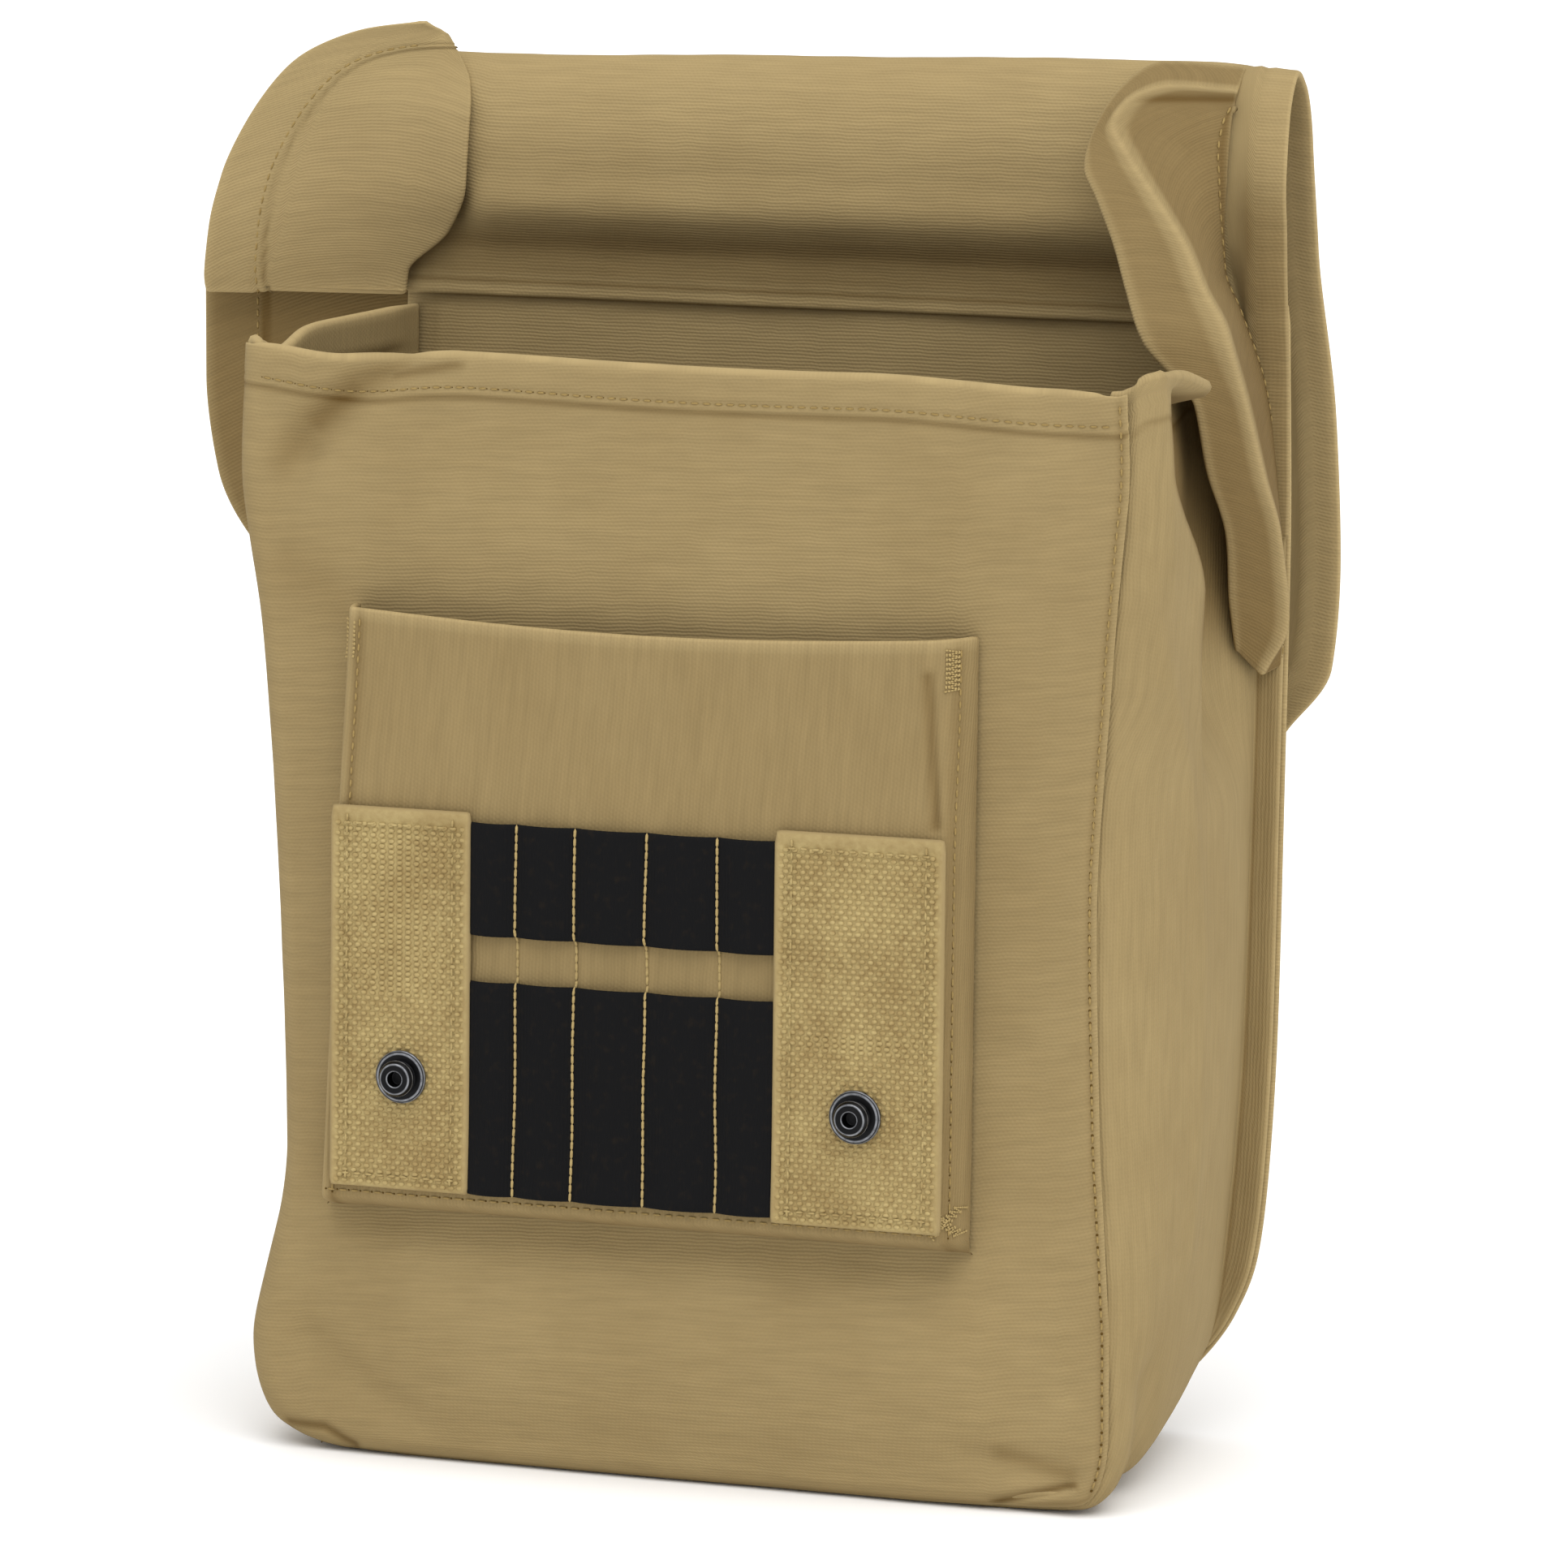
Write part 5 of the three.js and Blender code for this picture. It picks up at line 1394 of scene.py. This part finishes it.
class CASE_OT_gusset(bpy.types.Operator):
    """Sew the gusset with its seam allowance turned out at the back"""
    bl_idname = "case.gusset"
    bl_label = "Gusset"

    def execute(self, context):
        cut = sizes()
        depth = spans((FLANGE.share, GUSSET_STEPS.flange), (1, GUSSET_STEPS.wall))
        u, v = grid(steps(LAST_STATION * GUSSET_STEPS.station), depth)
        points = raised(gusset_surface, gusset_relief)(u, v)
        points[..., 2] = np.maximum(points[..., 2], 0)
        x, y, z = np.moveaxis(points, -1, 0)
        past = from_sides(points) - cut.mouth_hem
        hem = smoothstep(past, HEM_SOFT, -HEM_SOFT)
        thickness = mix(cut.canvas, cut.hem, hem * smoothstep(v - FLANGE.share, 0, GUSSET_CLOTH.hem_run))
        # Paler hem, painted shade in its stitch groove, a rim paler from wear, and painted shade in the
        # flange's fold and on the flange
        tone = broad_tone("gusset_hem", past) + line_tone("gusset_groove", past)
        tone = tone + line_tone("flange_rim", lengths_along(points, 0))
        tone = tone + line_tone("flange_fold", v) + broad_tone("flange", v)
        # Painted shade in the right recess, and painted light inside the left wall
        recess = plateau(z, *RECESS.z) * smoothstep(y - hollow_lean(z), *RECESS.y)
        tone = tone + RECESS.tone * recess * (x > 0) + broad_tone("left_inside", z) * (x < -SIDE_X)
        sew("gusset_canvas", "gusset", "canvas", points, thickness, tone)
        return {"FINISHED"}


class CASE_OT_back_panel(bpy.types.Operator):
    """Sew the back panel with its stitched margin"""
    bl_idname = "case.back_panel"
    bl_label = "Back panel"

    def execute(self, context):
        points = back_surface(*grid(*map(steps, GRIDS["back_panel"])))
        x, z = points[..., 0], points[..., 2]
        edge = edge_distance(points, np.concatenate([points[:, 0], points[:, -1], points[0]]))
        points[..., 1] += smoothstep(edge, *BACK_DENT.margin) * uneven("back_panel", x, z)
        points[..., 1] -= BACK_DENT.depth * bell(edge - BACK_SEAM_INSET, BACK_DENT.reach)
        tone = line_tone("back_edge", edge) + broad_tone("back_top", z)
        weave = np.stack([x, z], -1)
        sew("back_canvas", "back_panel", "canvas", points, sizes().canvas, tone, weave)
        return {"FINISHED"}


def flap_edge():
    """Points down the two sides of the flap and along its bottom."""
    line = steps(FLAP_CLOTH.edge_steps)
    start, end = np.zeros_like(line), np.ones_like(line)
    return np.concatenate([flap_surface(start, line), flap_surface(end, line), flap_surface(line, end)])


def flap_relief(u, v):
    edge = edge_distance(flap_surface(u, v), flap_edge())
    soft = uneven("flap", u * FLAP_CLOTH.width, v * FLAP_CLOTH.length)
    return band_relief(edge, FLAP_HEM, HEM_RISE["flap"]) + soft


class CASE_OT_flap(bpy.types.Operator):
    """Sew the flap that rolls over the back"""
    bl_idname = "case.flap"
    bl_label = "Flap"

    def execute(self, context):
        u, v = grid(*map(steps, GRIDS["flap"]))
        points = raised(flap_surface, flap_relief)(u, v)
        x, height = points[..., 0], points[..., 2]
        edge = edge_distance(points, flap_edge())
        past = edge - FLAP_HEM
        # Hanging part: paler hem, painted shade in its stitch groove and a rim paler from wear
        hanging = broad_tone("flap_hem", past) + line_tone("flap_groove", past) + line_tone("flap_rim", edge)
        # Over the roll: painted highlight and shade at the lower lip, painted shade under the roll and on the
        # strip by the right wing, the felled seam's dark line, and painted light on the top of the roll
        under = FLAP_UNDER.tone * plateau(height, *FLAP_UNDER.z) + line_tone("flap_under", height)
        rolled = line_tone("flap_lip", height) - under * (1 - smoothstep(x, *FLAP_UNDER.x))
        rolled = rolled + line_tone("flap_felled", x) * smoothstep(height, *FELLED_Z)
        rolled = rolled + broad_tone("flap_strip", x) * smoothstep(height, *STRIP_Z)
        rolled = rolled + broad_tone("flap_roll", height)
        tone = np.where(row_of(FLAP_ROWS, v) < FLAP_TOP_ROW, rolled, hanging)
        sew("flap_canvas", "flap", "canvas", points, sizes().canvas, tone)
        return {"FINISHED"}


def left_wing_width(v):
    row = row_of(LEFT_WING_ROWS, v)
    run = wing_line(LEFT_WING, "outer", row) - wing_line(LEFT_WING, "inner", row)
    return np.linalg.norm(run, axis=-1)


def left_wing_relief(u, v):
    inside = u * left_wing_width(v)
    band = band_relief(inside, sizes().wing_hem, HEM_RISE["left_wing"])
    return band + uneven("left_wing", inside, v * WING_LENGTH)


def left_wing_tone(u, v):
    row = row_of(LEFT_WING_ROWS, v)
    inside = u * left_wing_width(v)
    past = inside - sizes().wing_hem
    # Paler hem with painted shade in its stitch groove and a rim paler from wear; painted highlight and shade
    # at the pleat, painted light above it and painted shade below
    hem = broad_tone("left_wing_hem", past) + line_tone("left_wing_groove", past)
    hem = hem + line_tone("left_wing_rim", inside)
    pleat = line_tone("pleat", row) + broad_tone("left_wing_top", row) + broad_tone("left_wing_low", row)
    return hem + pleat


def top_hem(u, v):
    height = right_wing_surface(u, v)[..., 2]
    return bell(height - TOP_HEM.z, TOP_HEM.reach) * smoothstep(u - RIDGE.share, 0, TOP_HEM.run)


def right_wing_relief(u, v):
    return uneven("right_wing", u * RIDGE.width, v * WING_LENGTH) - TOP_HEM.dent * top_hem(u, v)


def right_wing_tone(u, v):
    # Painted highlight on the ridge, painted shade on the face, the band and the low part, painted shade by
    # the sewn edge and in the top hem's dent, and a free edge paler from wear
    across = line_tone("ridge", u) + broad_tone("right_wing_face", u) + broad_tone("right_wing_band", u)
    low = broad_tone("right_wing_low", v) * (1 - bell(u - RIDGE.share, RIDGE_CLEAR))
    edges = line_tone("right_wing_sewn", (1 - u) * RIDGE.width)
    edges = edges + line_tone("right_wing_free", u * RIDGE.width)
    return across + low + edges + TOP_HEM.tone * top_hem(u, v)


class CASE_OT_wings(bpy.types.Operator):
    """Sew the two side wings with their hems"""
    bl_idname = "case.wings"
    bl_label = "Wings"

    def execute(self, context):
        wings = (
            ("left_wing", left_wing_surface, left_wing_relief, left_wing_tone),
            ("right_wing", right_wing_surface, right_wing_relief, right_wing_tone),
        )
        for node, base, relief, tone in wings:
            u, v = grid(*map(steps, GRIDS[node]))
            points = raised(base, relief)(u, v)
            sew(node + "_canvas", node, "canvas", points, sizes().canvas, tone(u, v))
        return {"FINISHED"}


class CASE_OT_pocket(bpy.types.Operator):
    """Sew the front pocket"""
    bl_idname = "case.pocket"
    bl_label = "Front pocket"

    def execute(self, context):
        points = pocket_surface(*grid(spans(*POCKET_SPANS.across), spans(*POCKET_SPANS.along)))
        x, z = points[..., 0], points[..., 2]
        # Rim paler from wear at the mouth, painted shade at the bottom edge, painted highlight and shade at
        # the left fold, painted shade along the right stitch row, and painted shade over the face and along
        # the pleat
        tone = line_tone("pocket_mouth", pocket_top(x) - z) + line_tone("pocket_bottom", z - POCKET.bottom)
        tone = tone + line_tone("pocket_left", x - pocket_left(z))
        tone = tone + line_tone("pocket_right", POCKET.right - x)
        tone = tone + POCKET_TONE.all + POCKET_TONE.pleat * soft_line(x, z, POCKET_PLEAT)
        weave = np.stack([lengths_along(points, 0), lengths_along(points, 1)], -1)
        sew("pocket_canvas", "front_pocket", "canvas", points, sizes().canvas, tone, weave)
        return {"FINISHED"}


class CASE_OT_webbing(bpy.types.Operator):
    """Sew on the webbing tabs, and weave their coarse yarns"""
    bl_idname = "case.webbing"
    bl_label = "Webbing tabs"

    def execute(self, context):
        cut = sizes()
        for node, tab in TABS.items():
            u, v = grid(*map(steps, GRIDS["webbing"]))
            x, z = mix(tab.left, tab.right, u), mix(tab.bottom, tab.top, v)
            side = np.minimum(np.minimum(x - tab.left, tab.right - x), (tab.top - z) / SELVAGE.fold)
            plain = 1 - smoothstep(side - cut.selvage, *SELVAGE.soft)
            points = stack(x, tab_depth(x, z) + YARN.sunk - (YARN.sunk + YARN.proud) * plain, z)
            thickness = cut.webbing - YARN.sunk
            # Painted shade on the plain selvages and the folded top
            sew(node + "_band", node, "webbing", points, thickness, SELVAGE.tone * plain)
            lay_threads(
                node + "_yarns", self.yarn_rows(tab, cut), material_named(cotton_webbing),
                cut.warp, cut.warp * YARN.fill_warp, cut.weft * YARN.fill_weft, YARN.height, turn=YARN.turn)
        return {"FINISHED"}

    def yarn_rows(self, tab, cut):
        """Rows of yarns up a tab, each half a yarn aside from the last."""
        rows = []
        for row in range(int((tab.top - tab.bottom - SELVAGE.fold * cut.selvage) / cut.weft)):
            start = tab.left + cut.selvage + cut.warp * 0.5 * (row % 2)
            across = np.arange(start, tab.right - cut.selvage + SELVAGE.spare, cut.warp)
            height = tab.bottom + cut.weft * (row + 0.5)
            rows.append(path_at(tab_depth, across, height, -YARN.sunk * YARN.seat))
        return rows


class CASE_OT_elastic(bpy.types.Operator):
    """Sew on the two rows of elastic"""
    bl_idname = "case.elastic"
    bl_label = "Elastic rows"

    def execute(self, context):
        cut = sizes()
        across, along = GRIDS["elastic"]
        channels = [mix(a, b, fine_ends(across))[:-1] for a, b in zip(CHANNEL_SEAMS, CHANNEL_SEAMS[1:])]
        places = np.concatenate([*channels, CHANNEL_SEAMS[-1:]])
        for node, band in BANDS.items():
            x, z = grid(places, np.linspace(band.bottom, band.top, along + 1))
            points = stack(x, elastic_depth(x, z), z)
            sew(node + "_band", node, "elastic", points, cut.elastic, 0.0)
        thread = CHANNEL_STITCH
        rows = [self.channel_row(seam, cut.elastic) for seam in CHANNEL_SEAMS[1:-1]]
        lay_threads(
            "channel_stitches", rows, material_named(pale_cotton_thread),
            thread.pitch, thread.length, thread.width, thread.height)
        return {"FINISHED"}

    def channel_row(self, seam, elastic):
        """Stitch row up a channel's seam, over both rows of elastic and the bare cloth between them."""
        lower, upper = BANDS["elastic_lower"], BANDS["elastic_upper"]
        z = np.linspace(lower.bottom + CHANNEL_ROW.end, upper.top - CHANNEL_ROW.end, CHANNEL_ROW.points)
        x = seam + uneven("channel_seam", z, seam)
        soft = CHANNEL_ROW.soft
        bare = plateau(z, lower.top, lower.top + soft, upper.bottom - soft, upper.bottom)
        y = pocket_flat(x, z) - mix(GAP + elastic + CHANNEL_ROW.over, CHANNEL_ROW.bare, bare)
        return stack(x, y, z), stack(0 * x, -1.0, 0 * x)


class CASE_OT_snaps(bpy.types.Operator):
    """Set the snap studs in the webbing and their mating pieces on the flap"""
    bl_idname = "case.snaps"
    bl_label = "Snaps"

    def execute(self, context):
        material = material_named(black_lacquered_brass)
        for name, (x, z) in STUD_PLACES.items():
            seat = float(tab_depth(np.array(x), np.array(z))) - GAP
            turned_piece(name, STUD_PROFILE, (x, seat, z), -1, material)
        for name, (x, z) in SOCKET_PLACES.items():
            hanging = slice(FLAP_TOP_ROW, None)
            depth = float(np.interp(z, FLAP["z"][hanging][::-1], FLAP["y"][hanging][::-1]))
            turned_piece(name, SOCKET_PROFILE, (x, depth + GAP, z), 1, material)
        return {"FINISHED"}


def zigzag(from_place, to_place, width, turns):
    """Path of a bar tack on the pocket: a tight zigzag from a place to a place."""
    share = np.linspace(0, 1, 2 * turns + 1)
    run = np.subtract(to_place, from_place)
    across = np.array([-run[1], run[0]]) / np.hypot(*run) * width / 2
    swing = np.where(np.arange(len(share)) % 2 == 0, -1.0, 1.0)
    x = from_place[0] + run[0] * share + across[0] * swing
    z = from_place[1] + run[1] * share + across[1] * swing
    return path_at(pocket_depth, x, z, TACK.lift)


class CASE_OT_stitching(bpy.types.Operator):
    """Sew the rows of stitches and the bar tacks"""
    bl_idname = "case.stitching"
    bl_label = "Stitching"

    def execute(self, context):
        cut = sizes()
        self.sew_front(cut)
        self.sew_wings(cut)
        self.sew_back()
        self.sew_pocket(cut)
        return {"FINISHED"}

    def sew_front(self, cut):
        x = run_of(MOUTH_ROW)
        hem_line = mouth_height(x) - cut.mouth_hem + HEM_STITCH + uneven("mouth_seam", x, 0)
        sewn_rows("mouth_stitches", [path_at(front_depth, x, hem_line, LIFT)], hole=MOUTH_ROW.hole)
        seam = front_edge(run_of(SEAM_ROW), -LAP.stitch)
        sewn_rows("seam_stitches", [path_at(front_depth, seam[:, 0], seam[:, 2], LIFT)], hole=SEAM_ROW.hole)

    def sew_wings(self, cut):
        left_v, right_v = run_of(LEFT_WING_ROW), run_of(RIGHT_WING_ROW)
        left_u = np.minimum((cut.wing_hem - HEM_STITCH) / left_wing_width(left_v), LEFT_WING_ROW.most)
        left = raised(left_wing_surface, left_wing_relief)
        right = raised(right_wing_surface, right_wing_relief)
        sewn_rows("wing_stitches", [
            path_on(left, left_u, left_v, LIFT), path_on(right, RIGHT_WING_ROW.place, right_v, LIFT)])

    def sew_back(self):
        flap = raised(flap_surface, flap_relief)
        hanging = run_of(FLAP_ROW)
        flap_ends = FLAP["left"], FLAP["right"]
        sewn_rows("flap_stitches", [
            seam_inside(flap, hanging, FLAP["z"], flap_ends, FLAP_HEM - HEM_STITCH, LIFT)])
        falling = run_of(BACK_ROW)
        back_ends = BACK["half"], -BACK["half"]
        top_u, top_v = run_of(BACK_TOP_ROW), BACK_TOP_ROW.place
        sewn_rows("back_stitches", [
            seam_inside(back_surface, falling, BACK["z"], back_ends, BACK_SEAM_INSET, LIFT),
            path_on(back_surface, top_u, top_v, LIFT)])

    def sew_pocket(self, cut):
        rows = POCKET_ROWS
        z = np.linspace(POCKET.bottom + rows.low, POCKET.top - rows.high, ROW_POINTS.pocket)
        x = np.linspace(POCKET.left[0] + rows.start, POCKET.right - rows.end, ROW_POINTS.pocket)
        lines = (
            (pocket_left(z) + rows.left, z), (POCKET.right - rows.right, z),
            (x, POCKET.bottom + rows.bottom))
        sewn_rows("pocket_stitches", [path_at(pocket_depth, *line, LIFT) for line in lines])
        rows, tabs = TAB_ROWS, []
        for tab in TABS.values():
            z = np.linspace(tab.bottom + rows.end, tab.top - rows.end, ROW_POINTS.tab_side)
            x = np.linspace(tab.left + rows.side, tab.right - rows.side, ROW_POINTS.tab_end)
            lines = (
                (tab.left + rows.side, z), (tab.right - rows.side, z),
                (x, tab.top - rows.top), (x, tab.bottom + rows.bottom))
            tabs += [path_at(tab_depth, *line, TAB_LIFT) for line in lines]
        lay_threads(
            "tab_stitches", tabs, material_named(cotton_webbing),
            cut.pitch, cut.stitch, cut.thread, cut.thread)
        tacks = []
        for corner, shapes in ((POCKET.left[1], TACKS_LEFT), (POCKET.right, TACKS_RIGHT)):
            for (from_x, from_z), (to_x, to_z), width, turns in shapes:
                tacks.append(zigzag((corner + from_x, from_z), (corner + to_x, to_z), width, turns))
        lay_threads(
            "bar_tacks", tacks, material_named(pale_cotton_thread),
            TACK.pitch, TACK.length, TACK.width, TACK.height)


class CASE_OT_stage(bpy.types.Operator):
    """Set the floor, the soft studio light and the camera of the photograph"""
    bl_idname = "case.stage"
    bl_label = "Studio"

    def execute(self, context):
        scene = context.scene
        corners = [(x * FLOOR_REACH, y * FLOOR_REACH, 0) for x, y in ((-1, -1), (1, -1), (1, 1), (-1, 1))]
        floor = new_object("studio_floor", corners, [(0, 1, 2, 3)], material_named(studio_floor))
        floor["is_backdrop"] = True
        world = bpy.data.worlds.new("studio_light")
        world.use_nodes = True
        sky = world.node_tree.nodes["Background"]
        sky.inputs["Color"].default_value = WHITE
        sky.inputs["Strength"].default_value = SKY_STRENGTH
        scene.world = world
        key = bpy.data.lights.new("high_front_softbox", "SUN")
        key.energy = SUN.energy
        key.angle = SUN.angle
        self.add_lamp(scene, key, SUN.place)
        fill = bpy.data.lights.new("low_right_softbox", "AREA")
        fill.energy = FILL.energy
        fill.shape = "RECTANGLE"
        fill.size, fill.size_y = FILL.width, FILL.height
        self.add_lamp(scene, fill, FILL.place)
        scene.view_settings.view_transform = "Standard"
        self.add_camera(scene)
        return {"FINISHED"}

    def add_lamp(self, scene, light, place):
        lamp = bpy.data.objects.new(light.name, light)
        lamp.location = place
        lamp.rotation_mode = "QUATERNION"
        lamp.rotation_quaternion = Vector(place).to_track_quat("Z", "Y")
        scene.collection.objects.link(lamp)

    def add_camera(self, scene):
        flat = math.cos(VIEW.rise)
        back = Vector((math.sin(VIEW.yaw) * flat, -math.cos(VIEW.yaw) * flat, math.sin(VIEW.rise)))
        right = (-back).cross(Vector((0, 0, 1))).normalized()
        above = back.cross(right)
        turned = right * math.cos(VIEW.roll) + above * math.sin(VIEW.roll)
        upright = above * math.cos(VIEW.roll) - right * math.sin(VIEW.roll)
        camera = bpy.data.cameras.new("camera")
        camera.sensor_width = VIEW.sensor
        camera.lens = VIEW.focal / VIEW.frame * VIEW.sensor
        camera.clip_end = VIEW.far_metres
        eye = bpy.data.objects.new("camera", camera)
        rotation = Matrix((turned, upright, back)).transposed().to_4x4()
        place = (Vector(VIEW.target) + back * VIEW.distance) * MM
        eye.matrix_world = Matrix.Translation(place) @ rotation
        scene.collection.objects.link(eye)
        scene.camera = eye


OPERATORS = (
    CASE_OT_front_panel, CASE_OT_gusset, CASE_OT_back_panel, CASE_OT_flap, CASE_OT_wings, CASE_OT_pocket,
    CASE_OT_webbing, CASE_OT_elastic, CASE_OT_snaps, CASE_OT_stitching, CASE_OT_stage,
)


class CASE_PT_sewing(bpy.types.Panel):
    """Lists the steps that sew the map case"""
    bl_idname = "CASE_PT_sewing"
    bl_label = "Map case"
    bl_space_type = "VIEW_3D"
    bl_region_type = "UI"
    bl_category = "Map case"

    def draw(self, context):
        for operator in OPERATORS:
            self.layout.operator(operator.bl_idname)
        for group in (context.scene.case_sizes, context.scene.case_colours):
            for name in type(group).__annotations__:
                self.layout.prop(group, name)


CLASSES = (CaseSizes, CaseColours, *OPERATORS, CASE_PT_sewing)


def register():
    for cls in CLASSES:
        bpy.utils.register_class(cls)
    bpy.types.Scene.case_sizes = PointerProperty(type=CaseSizes)
    bpy.types.Scene.case_colours = PointerProperty(type=CaseColours)


def unregister():
    del bpy.types.Scene.case_colours
    del bpy.types.Scene.case_sizes
    for cls in reversed(CLASSES):
        bpy.utils.unregister_class(cls)


def main():
    register()
    for operator in OPERATORS:
        group, name = operator.bl_idname.split(".")
        getattr(getattr(bpy.ops, group), name)()
    boxes = {"cad": CAD_BOX, "visual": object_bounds()}
    {key: [list(corner) for corner in box] for key, box in boxes.items()}


if __name__ == "__main__":
    main()
